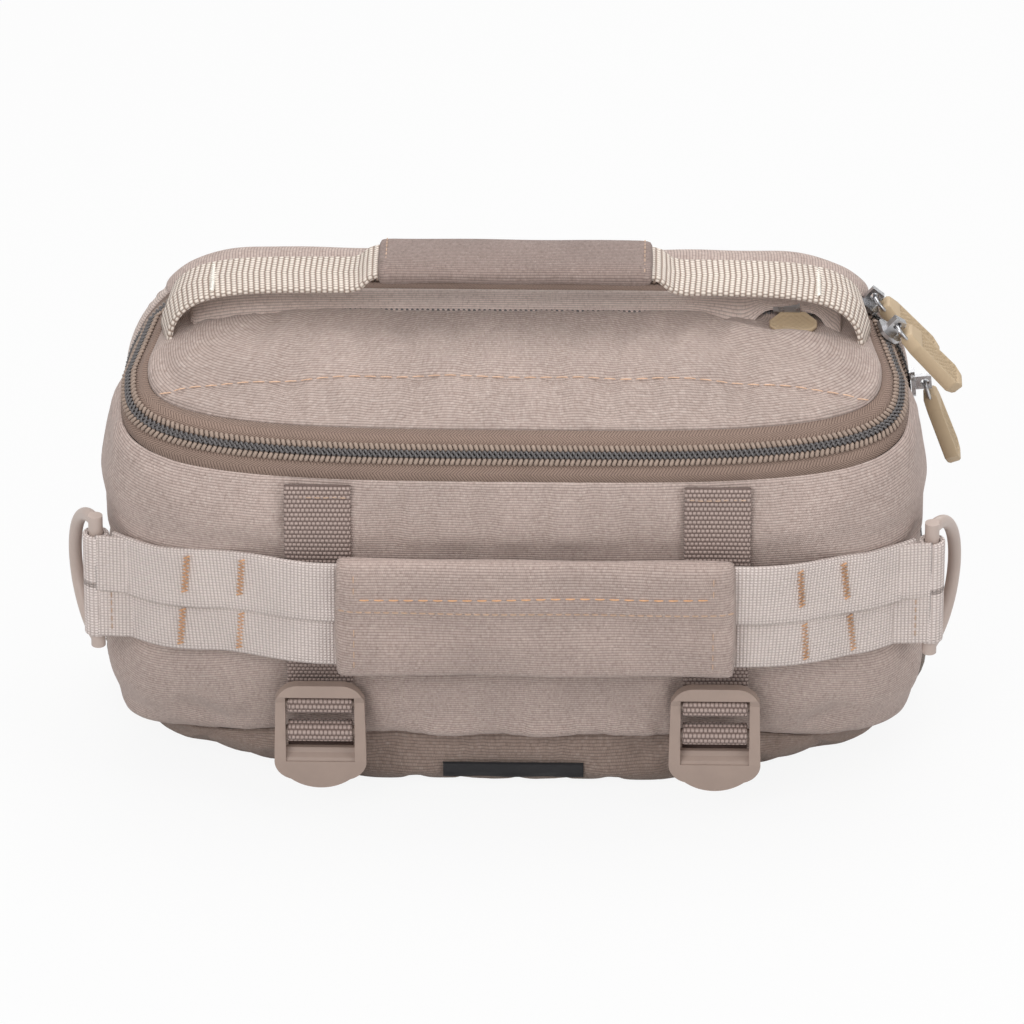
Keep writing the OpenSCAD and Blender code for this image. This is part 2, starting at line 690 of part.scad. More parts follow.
module rear_zip_tape()
  color(tape_fabric) placed()
    back_strip(box_profile(back_start, coil_low + coil_w, -tape_t, 0));

module rear_zip_coil()
  color(tooth_grey) placed() back_strip(coil_profile(coil_low, coil_low + coil_w));

module back_zip_tape()
  color(tape_fabric) placed()
    back_strip(box_profile(coil_back - coil_w, gusset_start, -tape_t, 0));

module back_zip_coil()
  color(tooth_grey) placed() back_strip(coil_profile(coil_back - coil_w, coil_back));

module back_gusset()
  color(fabric) placed() back_strip(box_profile(gusset_start, panel_start, -gusset_t, 0));

module rain_flap() {
  base = panel_start - 1.8;
  edge = panel_start - rain_w;
  lift = coil_h + 0.8;
  skip = low_arc + 1 + round(top_arc * 0.75);
  color(fabric) placed()
    back_strip([[base, 0], [panel_start, 0], [panel_start, lift + rain_t], [edge, lift + rain_t],
                [edge, lift], [base, lift]], skip, skip);
}

module back_piping()
  color(fabric) placed()
    back_strip([for (k = [0 : 7]) let (a = 45 * k + 22.5)
      [panel_start + piping_r + piping_r * cos(a), -piping_r + piping_r * sin(a)]]);

module back_panel() {
  edge = -2 * piping_r - 0.1;
  color(mesh_grey) placed() skin([
    back_ring_at(panel_start, edge, back_hinge_z),
    back_ring_at(panel_start + panel_t * 0.6, edge, back_hinge_z),
    back_ring_at(panel_start + panel_t * 0.9, edge - 3, back_hinge_z),
    back_ring_at(panel_start + panel_t, edge - 9, back_hinge_z)]);
}

// ---- harness tabs on the back panel, each with a small D-ring

tab_w = 20;
tab_z = 128;
tab_wire = 3;
tab_tail = 14; // length of the tab below its loop
tab_loop_r = tab_wire / 2 + 0.2 + loop_clear + webbing_t;
tab_bar_depth = panel_start + panel_t + tab_loop_r + 0.2;

module back_tab(side)
  color(webbing_tan) placed() on_side(side) translate([tab_x, tab_bar_depth, tab_z]) {
    rotate([0, 90, 0]) difference() {
      cylinder(r = tab_loop_r, h = tab_w, center = true, $fn = 48);
      cylinder(r = tab_loop_r - webbing_t, h = tab_w + 1, center = true, $fn = 48);
    }
    translate([-tab_w / 2, -tab_loop_r, -tab_loop_r - tab_tail])
      cube([tab_w, webbing_t, tab_tail + tab_loop_r]);
  }

module back_ring(side)
  color(plastic_tan) placed() on_side(side) translate([tab_x, tab_bar_depth, tab_z])
    rotate([0, -90, 0]) d_ring(tab_w + 2, tab_wire);

// ---- zip sliders with their wire rings and rubber pulls

eye_r = wire_t / 2 + 0.7;
eye_z = slider_t + 1.8; // height of the eye's middle above the slider's upper face

// The slider runs along X; z = 0 is the tape's upper face, the teeth stand up from it.
// The eye looks across the run, or along it with eye_turn 90.
module zip_slider(eye_turn = 0) {
  top = coil_h + slider_clear;
  low = tape_t + slider_clear;
  plate_r = slider_w / 2;
  for (z = [top, -low - slider_t]) translate([0, 0, z]) linear_extrude(slider_t) intersection() {
    square([slider_l, slider_w], center = true);
    circle(r = plate_r * 1.18, $fn = 48);
  }
  translate([-slider_l / 2 + 0.8, -0.5, -low - 0.1]) cube([2.4, 1, low + top + 0.2]);
  translate([0, 0, top + slider_t]) rotate(eye_turn) difference() {
    translate([-eye_r - 0.9, -1, -0.1]) cube([2 * eye_r + 1.8, 2, eye_z + eye_r + 0.8]);
    translate([0, 0, eye_z]) rotate([90, 0, 0]) cylinder(r = eye_r, h = 4, center = true, $fn = 32);
  }
}

eye_height = coil_h + slider_clear + slider_t + eye_z; // height of the eye above the tape

// Ring in the XZ plane through the eye at the origin, hanging along -Z.
module wire_ring()
  translate([0, 0, -wire_ring_r - wire_t / 2]) rotate([90, 0, 0])
    rotate_extrude($fn = 48) translate([wire_ring_r + wire_t / 2, 0]) circle(d = wire_t, $fn = 16);

// Tapered rubber pull with a chamfered tip, hanging along -Z from the ring.
module rubber_pull() {
  start = 2 * wire_ring_r + wire_t;
  tip = pull_w * 0.3;
  difference() {
    translate([0, 0, -start + 1.2]) rotate([90, 0, 0]) linear_extrude(pull_t, center = true)
      polygon([[-pull_w * 0.26, 1.6], [pull_w * 0.26, 1.6], [pull_w * 0.42, -3],
               [pull_w / 2, -pull_l + tip], [pull_w * 0.22, -pull_l], [-pull_w * 0.22, -pull_l],
               [-pull_w / 2, -pull_l + tip], [-pull_w * 0.42, -3]]);
    translate([0, 0, -wire_ring_r - wire_t / 2]) rotate([90, 0, 0])
      rotate_extrude($fn = 48) translate([wire_ring_r + wire_t / 2, 0])
        circle(d = wire_t + 0.02, $fn = 16);
  }
}

// Place of the runner on the lid's zip, near the right end of its straight stretch.
lid_park = front_depth - 5; // depth at which the slider is parked
lid_slider_at = [
  half_w - shoulder_side - band_width / 2 * cos(band_tilt)
    - rear_draw * (lid_park - side_depth_top) / lid_stretch,
  lid_park,
  zip_z + zip_slope * (lid_park - shoulder_front)
    + band_width / 2 * (sin(band_tilt) - zip_slope * cos(band_tilt))
];

function unit(v) = v / norm(v);

// Axes of the zip's band there: forward along the zip, outward across it, and up off it.
lid_way = unit([rear_draw, -lid_stretch, -zip_slope * lid_stretch]);
lid_normal = unit(cross([-cos(band_tilt), 0, sin(band_tilt) - zip_slope * cos(band_tilt)], lid_way));
lid_across = cross(lid_normal, lid_way);

module on_lid_zip()
  placed() multmatrix([for (i = [0 : 2]) [lid_way[i], lid_across[i], lid_normal[i], lid_slider_at[i]]])
    children();

top_turn = 50; // place of the upper back slider on the corner, from level
side_lean = atan(back_flare); // lean of the compartment's sides
side_slider_z = flare_z + 5; // the side slider is parked at the foot of the upper corner
side_slider_x = back_half_w + back_flare * (flare_z - side_slider_z);

module on_back_corner()
  placed() translate([back_half_w - back_r_top, zip_mid, back_h - back_r_top])
    rotate([0, -top_turn, 0]) translate([back_r_top, 0, 0]) rotate([0, 90, 0]) children();

module on_back_side()
  placed() translate([side_slider_x, zip_mid, side_slider_z]) rotate([0, 90 - side_lean, 0]) children();

lid_eye = lid_slider_at + eye_height * lid_normal;
top_eye = [back_half_w - back_r_top + (back_r_top + eye_height) * cos(top_turn), zip_mid,
           back_h - back_r_top + (back_r_top + eye_height) * sin(top_turn)];
side_eye = [side_slider_x + eye_height * cos(side_lean), zip_mid,
            side_slider_z + eye_height * sin(side_lean)];
upper_hang = 42; // lean of the two upper pulls from straight down
side_hang = 20; // lean of the side pull

// Hangs a piece at an eye, leaning outward from straight down.
module hung(eye, lean) placed() translate(eye) rotate([0, -lean, 0]) rotate(90) children();

module lid_slider() color(steel) on_lid_zip() zip_slider(90);
module lid_ring() color(steel) hung(lid_eye, upper_hang) wire_ring();
module lid_pull() color(rubber_beige) hung(lid_eye, upper_hang) rubber_pull();
module rear_slider_top() color(steel) on_back_corner() zip_slider();
module rear_ring_top() color(steel) hung(top_eye, upper_hang) wire_ring();
module rear_pull_top() color(rubber_beige) hung(top_eye, upper_hang) rubber_pull();
module rear_slider_side() color(steel) on_back_side() zip_slider();
module rear_ring_side() color(steel) hung(side_eye, side_hang) wire_ring();
module rear_pull_side() color(rubber_beige) hung(side_eye, side_hang) rubber_pull();

// ---- runner of the lid pocket, its pull lying in front of the fold

pocket_slider_l = 8;
pocket_plate_t = 1; // thickness of the slider and of its pull
pocket_plate_z = pocket_coil_t + 0.3; // height of their undersides above the lid

module pocket_slider()
  color(steel) placed() on_pocket()
    translate([pocket_x - pocket_slider_l / 2, pocket_coil_depth - flap_depth, pocket_plate_z])
      cube([pocket_slider_l, pocket_coil_w, pocket_plate_t]);

// Flat rubber pull whose chamfered tip shows in front of the flap.
module pocket_pull()
  color(rubber_beige) placed() on_pocket()
    translate([pocket_x, 0, pocket_plate_z]) linear_extrude(pocket_plate_t) difference() {
      half = 6.5;
      tip = 3.8; // half width at the chamfered end
      polygon([[-half, 1.4], [-half, -3.5], [-tip, -7], [tip, -7], [half, -3.5], [half, 1.4]]);
      translate([0, -2.6]) circle(r = 1, $fn = 24);
    }

front_shell();
bottom_panel();
divider();
rear_floor();
front_zip_tape();
front_zip_coil();
strap(-1);  // strap_left
strap(1);  // strap_right
adjuster_strap(-1);  // adjuster_strap_left
adjuster_strap(1);  // adjuster_strap_right
band_upper();
band_lower();
grip_sleeve();
band_loop(-1);  // band_loop_left
band_loop(1);  // band_loop_right
label();
rear_zip_tape();
rear_zip_coil();
side_ring(-1);  // ring_left
side_ring(1);  // ring_right
buckle(-1);  // buckle_left
buckle(1);  // buckle_right
adjuster_loop(-1);  // adjuster_loop_left
adjuster_loop(1);  // adjuster_loop_right
lid_shell();
lid_flap();
lid_zip_tape();
lid_zip_coil();
pocket_coil();
handle_webbing();
handle_sleeve();
back_panel();
back_gusset();
back_piping();
back_zip_tape();
back_zip_coil();
rain_flap();
back_tab(-1);  // back_tab_left
back_tab(1);  // back_tab_right
back_ring(-1);  // back_ring_left
back_ring(1);  // back_ring_right
lid_slider();
lid_ring();
lid_pull();
rear_slider_top();
rear_ring_top();
rear_pull_top();
rear_slider_side();
rear_ring_side();
rear_pull_side();
pocket_slider();
pocket_pull();
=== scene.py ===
import math

import bmesh
import bpy
import numpy as np
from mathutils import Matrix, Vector
from mathutils.bvhtree import BVHTree


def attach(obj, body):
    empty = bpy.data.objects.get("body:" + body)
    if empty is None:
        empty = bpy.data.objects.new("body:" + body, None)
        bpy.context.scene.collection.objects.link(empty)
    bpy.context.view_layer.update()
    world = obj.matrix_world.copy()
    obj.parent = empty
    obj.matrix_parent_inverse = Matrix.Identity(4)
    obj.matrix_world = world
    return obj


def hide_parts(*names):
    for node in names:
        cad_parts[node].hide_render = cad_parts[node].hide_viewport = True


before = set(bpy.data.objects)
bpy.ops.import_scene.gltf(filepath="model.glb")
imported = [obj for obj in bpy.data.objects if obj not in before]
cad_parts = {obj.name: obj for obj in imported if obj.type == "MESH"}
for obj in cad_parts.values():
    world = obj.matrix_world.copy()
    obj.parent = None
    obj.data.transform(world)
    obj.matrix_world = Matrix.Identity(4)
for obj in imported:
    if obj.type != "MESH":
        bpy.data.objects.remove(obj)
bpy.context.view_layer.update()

scene = bpy.context.scene
scene.view_settings.view_transform = "Standard"
restDepth = 45.0  # the front plane lies this far in front of the origin, in mm
leftRight = ((-1, "Left"), (1, "Right"))

# Sizes of the pack in mm, depth counted from its front plane; the tilt is an angle and the slope a share
pack = {
    "halfWidth": 124.5,
    "frontDepth": 66.0,
    "zipHeight": 117.0,
    "zipSlope": 0.24,
    "frontTuck": 20.0,
    "sideTuck": 13.0,
    "shoulder": 2.5,
    "rearDraw": 6.0,
    "lowSideStart": 50.0,
    "sideStart": 42.0,
    "baseEdge": 5.0,
    "bootHeight": 22.5,
    "bandTilt": math.radians(48),
    "bandWidth": 17.2,
    "lidCrown": 6.0,
    "lidCurve": 38.0,
}


def place(points):
    # from mm, with depth counted from the front plane, to metres round the origin
    return (np.asarray(points, float) - [0, restDepth, 0]) / 1000


def mix(a, b, u):
    return a + (b - a) * u


def ramp(value, start, end):
    return np.clip((value - start) / (end - start), 0, None)


def smooth(value, start, end):
    u = np.clip((value - start) / (end - start), 0, 1)
    return u * u * (3 - 2 * u)


def unit(vectors):
    return vectors / np.maximum(np.linalg.norm(vectors, axis=-1, keepdims=True), 1e-9)


def signedPower(value, power):
    return math.copysign(abs(value) ** power, value)


def ripple(points, size, seed):
    # soft random field between -1 and 1 over points in mm, made of turned sine waves
    p = np.asarray(points, float) / size
    total = np.zeros(p.shape[:-1])
    rng = np.random.default_rng(int(seed * 10) + 7)
    for k in range(7):
        axis = rng.normal(size=3)
        axis *= rng.uniform(0.6, 1.5) * 2 * math.pi / np.linalg.norm(axis)
        total = total + np.sin(p @ axis + rng.uniform(0, 6.28)) / 7
    return total * 1.6


def meshPiece(name, verts, faces, uvs=None, recalc=True):
    mesh = bpy.data.meshes.new(name)
    mesh.from_pydata([tuple(v) for v in verts], [], faces)
    if uvs is not None:
        layer = mesh.uv_layers.new(name="cloth")
        flat = np.array([c for face in uvs for c in face], float).ravel()
        layer.data.foreach_set("uv", flat)
    if recalc:
        bm = bmesh.new()
        bm.from_mesh(mesh)
        bmesh.ops.recalc_face_normals(bm, faces=bm.faces)
        bm.to_mesh(mesh)
        bm.free()
    mesh.polygons.foreach_set("use_smooth", [True] * len(mesh.polygons))
    mesh.update()
    piece = bpy.data.objects.new(name, mesh)
    scene.collection.objects.link(piece)
    return piece


def loft(name, rings, wrap=True, recalc=True):
    # quads over a list of rings in mm, with the real length along and across as UV
    rings = np.asarray(rings, float)
    rows, cols, _ = rings.shape
    across = np.linalg.norm(np.diff(np.concatenate([rings, rings[:, :1]], 1), axis=1), axis=2)
    u = np.concatenate([[0], np.cumsum(across.mean(axis=0))])
    along = np.linalg.norm(np.diff(rings, axis=0), axis=2).mean(axis=1)
    v = np.concatenate([[0], np.cumsum(along)])
    count = cols if wrap else cols - 1
    faces = []
    uvs = []
    for k in range(rows - 1):
        for i in range(count):
            j = (i + 1) % cols
            faces.append((k * cols + i, k * cols + j, (k + 1) * cols + j, (k + 1) * cols + i))
            uvs.append(((u[i], v[k]), (u[i + 1], v[k]), (u[i + 1], v[k + 1]), (u[i], v[k + 1])))
    if wrap:
        for k in (0, rows - 1):
            faces.append(tuple(k * cols + i for i in range(cols)))
            uvs.append(tuple((u[i], v[k]) for i in range(cols)))
    return meshPiece(name, place(rings.reshape(-1, 3)), faces, uvs, recalc=recalc)


def flatCloth(piece):
    # lays the weave straight over a broad upright face
    layer = piece.data.uv_layers["cloth"]
    for corner in piece.data.loops:
        spot = piece.data.vertices[corner.vertex_index].co
        layer.data[corner.index].uv = (spot.x * 1000, spot.z * 1000)


def pathLengths(path):
    # length along a path at each of its points
    steps = np.linalg.norm(np.diff(path, axis=0), axis=1)
    return np.concatenate([[0], np.cumsum(steps)])


def valueAt(where, at, points):
    return np.stack([np.interp(where, at, points[:, k]) for k in range(points.shape[1])], -1)


def resample(path, count):
    path = np.asarray(path, float)
    at = pathLengths(path)
    return valueAt(np.linspace(0, at[-1], count), at, path)


def spreadOver(out, path, count):
    # outward directions of a path at count even steps
    outs = np.broadcast_to(np.asarray(out, float), path.shape)
    return valueAt(np.linspace(0, 1, count), np.linspace(0, 1, len(path)), outs)


def framesAlong(path, out):
    # tangent, side and outward directions at each point of a path
    path = np.asarray(path, float)
    along = unit(np.gradient(path, axis=0))
    out = np.broadcast_to(np.asarray(out, float), path.shape)
    side = unit(np.cross(out, along))
    return along, side, np.cross(along, side)


def webbingSection(width, thick):
    half = width / 2
    t = thick / 2
    xs = np.linspace(-half + t * 0.6, half - t * 0.6, 9)
    top = [(x, t) for x in xs]
    edge = [(half - t * 0.15, t * 0.7), (half, 0), (half - t * 0.15, -t * 0.7)]
    low = [(x, -t) for x in xs[::-1]]
    return np.array(top + edge + low + [(-a, b) for a, b in reversed(edge)])


def ribbon(name, path, out, width, thick, wave, seed):
    # flat webbing along a path; out points away from the surface that it lies on
    along, side, up = framesAlong(path, out)
    section = webbingSection(width, thick)
    path = np.asarray(path, float)
    rings = path[:, None] + side[:, None] * section[None, :, :1] + up[:, None] * section[None, :, 1:]
    return loft(name, rings + up[:, None] * (ripple(rings, 24, seed) * wave)[..., None])


def tube(name, path, radius, sides, out=(0, 0, 1)):
    along, side, up = framesAlong(path, out)
    angle = np.linspace(0, 2 * math.pi, sides, endpoint=False)[None, :, None]
    rings = np.asarray(path)[:, None] + radius * (side[:, None] * np.cos(angle) + up[:, None] * np.sin(angle))
    return loft(name, rings)


def joinPieces(name, pieces):
    bm = bmesh.new()
    for piece in pieces:
        bm.from_mesh(piece.data)
    mesh = bpy.data.meshes.new(name)
    bm.to_mesh(mesh)
    bm.free()
    for piece in pieces:
        old = piece.data
        bpy.data.objects.remove(piece)
        bpy.data.meshes.remove(old)
    joined = bpy.data.objects.new(name, mesh)
    scene.collection.objects.link(joined)
    return joined


def vertsOf(piece):
    # in mm, with depth counted from the front plane
    return np.array([v.co for v in piece.data.vertices]) * 1000 + [0, restDepth, 0]


def surfaceTree(piece):
    return BVHTree.FromObject(piece, bpy.context.evaluated_depsgraph_get())


def subdivide(piece):
    step = piece.modifiers.new("rounding", "SUBSURF")
    step.levels = 1
    step.render_levels = 1


def thicken(piece, thick, offset=-1):
    step = piece.modifiers.new("thickness", "SOLIDIFY")
    step.thickness = thick / 1000
    step.offset = offset


clothRun = {"scale": 10.0, "frames": 16, "quality": 7, "mass": 0.3, "stiffness": 12, "shear": 5,
            "bending": 0.6}


def puff(piece, pins, pressure, growth, cap):
    # Cloth on a larger copy, held at pins; growth makes the cloth too big for its frame,
    # so that it wrinkles. The result is written back within cap millimetres.
    size = clothRun["scale"]
    copy = bpy.data.objects.new("clothCopy", piece.data.copy())
    scene.collection.objects.link(copy)
    start = np.array([v.co for v in piece.data.vertices])
    copy.data.vertices.foreach_set("co", (start * size).ravel())
    held = copy.vertex_groups.new(name="held")
    held.add([int(i) for i in pins], 1.0, "REPLACE")
    cloth = copy.modifiers.new("cloth", "CLOTH")
    cloth.settings.vertex_group_mass = "held"
    cloth.settings.quality = clothRun["quality"]
    cloth.settings.mass = clothRun["mass"]
    cloth.settings.tension_stiffness = clothRun["stiffness"]
    cloth.settings.compression_stiffness = clothRun["stiffness"]
    cloth.settings.shear_stiffness = clothRun["shear"]
    cloth.settings.bending_stiffness = clothRun["bending"]
    cloth.settings.use_pressure = True
    cloth.settings.uniform_pressure_force = pressure
    cloth.settings.shrink_min = -growth
    cloth.settings.effector_weights.gravity = 0
    cloth.collision_settings.use_collision = False
    cloth.point_cache.frame_end = clothRun["frames"] + 1
    for f in range(1, clothRun["frames"] + 1):
        scene.frame_set(f)
    shape = copy.evaluated_get(bpy.context.evaluated_depsgraph_get())
    result = np.array([v.co for v in shape.data.vertices]) / size
    move = result - start
    length = np.linalg.norm(move, axis=1)
    limit = cap / 1000
    scale = np.where(length > limit, limit / np.maximum(length, 1e-9), 1)
    piece.data.vertices.foreach_set("co", (start + move * scale[:, None]).ravel())
    piece.data.update()
    bpy.data.objects.remove(copy)
    scene.frame_set(1)


def ride(piece, body, material, slotName, *nodes):
    piece.data.materials.clear()
    piece.data.materials.append(material)
    if nodes:
        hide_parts(*nodes)
    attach(piece, body)
    return piece


def frontInset(t):
    # t is the height share, from the base (0) to the zip (1)
    return pack["frontTuck"] * np.maximum(0, 1 - t / 0.87) ** 1.7 \
        + pack["shoulder"] * ramp(t, 0.87, 1) ** 2


def sideInset(t):
    return pack["sideTuck"] * np.maximum(0, 1 - t / 0.34) ** 2 \
        + pack["shoulder"] * ramp(t, 0.75, 1) ** 2


def sideShape(t):
    # squareness of the outline, and the depth from which its sides run straight back
    return mix(2.6, 3.5, t), mix(pack["lowSideStart"], pack["sideStart"], t)


def outline(w, front, back, draw, squareness, sideDepth, count):
    angle = np.linspace(0, math.pi, 241)
    cosA = np.cos(angle)
    x = -w * np.sign(cosA) * np.abs(cosA) ** (2 / squareness)
    y = sideDepth - (sideDepth - front) * np.abs(np.sin(angle)) ** (2 / squareness)
    path = np.concatenate([[[-(w - draw), back]], np.stack([x, y], 1), [[w - draw, back]]])
    return resample(path, count)


def shellRing(t, inset, count, lift=0.0):
    draw = pack["rearDraw"] * mix(0.4, 1, t)
    p = outline(pack["halfWidth"] - sideInset(t) - inset, frontInset(t) + inset,
                pack["frontDepth"] - max(inset, 0), draw, *sideShape(t), count)
    z = t * pack["zipHeight"] + pack["zipSlope"] * t * t * (p[:, 1] - frontInset(t)) + lift
    return np.column_stack([p, z])


def zipRing(inset, rise, count, backInset=0.0):
    sideDepth = mix(pack["sideStart"], pack["frontDepth"] - 6, min(1, max(0, (inset - 12) / 40)))
    p = outline(pack["halfWidth"] - pack["shoulder"] - inset, pack["shoulder"] + inset,
                pack["frontDepth"] - backInset, pack["rearDraw"], 3.5, sideDepth, count)
    z = pack["zipHeight"] + pack["zipSlope"] * (p[:, 1] - pack["shoulder"]) + rise
    return np.column_stack([p, z])


def bandRing(distance, height, count, backInset=0.0):
    # a ring on the slanted zip band: distance up the band, height above it
    tilt = pack["bandTilt"]
    inset = distance * math.cos(tilt) - height * math.sin(tilt)
    rise = distance * math.sin(tilt) + height * math.cos(tilt)
    return zipRing(inset, rise - pack["zipSlope"] * inset, count, backInset)


def faceDepth(t, x):
    w = pack["halfWidth"] - sideInset(t)
    s, sideDepth = sideShape(t)
    inner = (1 - (np.abs(x) / w) ** s) ** (1 / s)
    return sideDepth - (sideDepth - frontInset(t)) * inner


def crownShare(u):
    return 1 - (1 - np.clip(u, 0, 1)) ** 2.8


lidInset = pack["bandWidth"] * math.cos(pack["bandTilt"])
lidRise = pack["bandWidth"] * math.sin(pack["bandTilt"]) - pack["zipSlope"] * lidInset
lidHalf = pack["halfWidth"] - pack["shoulder"] - lidInset


def lidReach(depth):
    # half width of the lid, which narrows to the rear
    return lidHalf - pack["rearDraw"] * ramp(depth, pack["sideStart"], pack["frontDepth"])


def lidTop(x, depth):
    side = lidReach(depth) - np.abs(x)
    front = (depth - pack["shoulder"] - lidInset) / pack["lidCurve"]
    u = np.minimum(side / pack["lidCurve"], front)
    return pack["zipHeight"] + pack["zipSlope"] * (depth - pack["shoulder"]) + lidRise \
        + pack["lidCrown"] * crownShare(u)


def linear(rgb):
    values = [c / 255 for c in rgb]
    return tuple(c / 12.92 if c <= 0.04045 else ((c + 0.055) / 1.055) ** 2.4 for c in values) + (1,)


def newGroup(name, outputs, **inputs):
    # a tuple makes a colour input and a number a plain one; every group takes a Vector too
    tree = bpy.data.node_groups.new(name, "ShaderNodeTree")
    tree.interface.new_socket(name="Vector", in_out="INPUT", socket_type="NodeSocketVector")
    for label, value in inputs.items():
        kind = "NodeSocketColor" if isinstance(value, tuple) else "NodeSocketFloat"
        socket = tree.interface.new_socket(name=label.replace("_", " "), in_out="INPUT", socket_type=kind)
        socket.default_value = value
    for label in outputs:
        kind = "NodeSocketColor" if label == "Colour" else "NodeSocketFloat"
        tree.interface.new_socket(name=label, in_out="OUTPUT", socket_type=kind)
    return tree, tree.nodes.new("NodeGroupInput").outputs, tree.nodes.new("NodeGroupOutput").inputs


def giveOut(tree, end, **values):
    for label, value in values.items():
        tree.links.new(value, end[label])
    return tree


def feed(tree, value, socket):
    # links another node's output, or sets a plain value
    if hasattr(value, "is_linked"):
        tree.links.new(value, socket)
    else:
        socket.default_value = value


def maths(tree, kind, *values):
    node = tree.nodes.new("ShaderNodeMath")
    node.operation = kind
    for value, socket in zip(values, node.inputs):
        feed(tree, value, socket)
    return node.outputs[0]


def times(tree, a, b):
    return maths(tree, "MULTIPLY", a, b)


def plus(tree, a, b):
    return maths(tree, "ADD", a, b)


def waves(tree, value, pitch=1.0):
    # one hump to the pitch
    return maths(tree, "ABSOLUTE", maths(tree, "SINE", times(tree, value, math.pi / pitch)))


def mixColour(tree, factor, a, b, kind="MIX"):
    node = tree.nodes.new("ShaderNodeMix")
    node.data_type = "RGBA"
    node.blend_type = kind
    for k, value in ((0, factor), (6, a), (7, b)):
        feed(tree, value, node.inputs[k])
    return node.outputs[2]


def combine(tree, x, y, z=0.0):
    node = tree.nodes.new("ShaderNodeCombineXYZ")
    for value, socket in zip((x, y, z), node.inputs):
        feed(tree, value, socket)
    return node.outputs[0]


def shaded(tree, colour, tone, share=1.0):
    return mixColour(tree, share, colour, combine(tree, tone, tone, tone), "MULTIPLY")


def noiseValue(tree, vector, scale, detail=2.0, rough=0.5):
    node = tree.nodes.new("ShaderNodeTexNoise")
    for label, value in (("Vector", vector), ("Scale", scale), ("Detail", detail), ("Roughness", rough)):
        feed(tree, value, node.inputs[label])
    return node.outputs[0]


def yarnNoise(tree, u, v, uScale, vScale, detail, rough=0.5):
    return noiseValue(tree, combine(tree, times(tree, u, uScale), times(tree, v, vScale)), 1.0, detail, rough)


def splitVector(tree, vector):
    node = tree.nodes.new("ShaderNodeSeparateXYZ")
    tree.links.new(vector, node.inputs[0])
    return node.outputs[0], node.outputs[1]


def remap(tree, value, low, high, toLow=0.0, toHigh=1.0):
    node = tree.nodes.new("ShaderNodeMapRange")
    for number, socket in zip((value, low, high, toLow, toHigh), node.inputs):
        feed(tree, number, socket)
    return node.outputs[0]


def heatherClothGroup():
    # ribbed cloth with two yarn colours and painted shade in the grooves between the ribs; Vector is the
    # cloth's own length and width in mm
    tree, start, end = newGroup("heatherCloth", ("Colour", "Height", "Fuzz"), Main_Colour=(0.4, 0.3, 0.3, 1),
                                Dark_Yarn=(0.2, 0.15, 0.12, 1), Light_Yarn=(0.6, 0.5, 0.45, 1),
                                Rib_Pitch=0.9, Heather=0.5)
    u, v = splitVector(tree, start["Vector"])
    bend = yarnNoise(tree, u, v, 0.03, 0.05, 2.0)
    row = plus(tree, maths(tree, "DIVIDE", v, start["Rib Pitch"]), times(tree, bend, 1.2))
    rowIndex = maths(tree, "FLOOR", row)
    rib = waves(tree, row)
    threads = waves(tree, plus(tree, u, times(tree, rowIndex, 0.31)), 0.62)
    streak = yarnNoise(tree, u, rowIndex, 1.1, 5.7, 1.0)
    speck = yarnNoise(tree, u, v, 2.9, 0.45, 2.0, 0.6)
    darkShare = times(tree, remap(tree, streak, 0.52, 0.85), start["Heather"])
    lightShare = times(tree, remap(tree, streak, 0.48, 0.2), start["Heather"])
    colour = mixColour(tree, darkShare, start["Main Colour"], start["Dark Yarn"])
    colour = mixColour(tree, lightShare, colour, start["Light Yarn"])
    colour = shaded(tree, colour, remap(tree, speck, 0.3, 0.7, 0.91, 1.08))
    # painted shade: the grooves between the ribs are darkened, down to half the colour, on top of the bump
    colour = shaded(tree, colour, remap(tree, rib, 0.0, 0.7, 0.5, 1.04), 0.8)
    height = plus(tree, times(tree, rib, 0.75), times(tree, threads, 0.25))
    return giveOut(tree, end, Colour=colour, Height=height, Fuzz=speck)


def webbingGroup():
    # woven webbing: rows of beads across it, each row shifted by Stagger against the last; the Groove Colour
    # is painted shade in the recesses between the beads, mixed in as far as Depth says
    tree, start, end = newGroup("webbingWeave", ("Colour", "Height"), Main_Colour=(0.5, 0.4, 0.4, 1),
                                Groove_Colour=(0.2, 0.15, 0.13, 1), Rib_Pitch=1.5, Column_Pitch=2.0,
                                Depth=0.7, Stagger=0.5)
    u, v = splitVector(tree, start["Vector"])
    rib = maths(tree, "DIVIDE", v, start["Rib Pitch"])
    odd = maths(tree, "ABSOLUTE", maths(tree, "MODULO", maths(tree, "FLOOR", rib), 2.0))
    column = plus(tree, maths(tree, "DIVIDE", u, start["Column Pitch"]), times(tree, odd, start["Stagger"]))
    height = times(tree, waves(tree, rib), maths(tree, "POWER", waves(tree, column), 0.6))
    fibre = yarnNoise(tree, u, v, 5.0, 0.8, 3.0, 0.7)
    # painted shade: the low places between the beads take the darker Groove Colour
    groove = times(tree, remap(tree, height, 0.75, 0.05), start["Depth"])
    colour = mixColour(tree, groove, start["Main Colour"], start["Groove Colour"])
    colour = shaded(tree, colour, remap(tree, fibre, 0.3, 0.75, 0.86, 1.1))
    return giveOut(tree, end, Colour=colour, Height=plus(tree, height, times(tree, fibre, 0.2)))


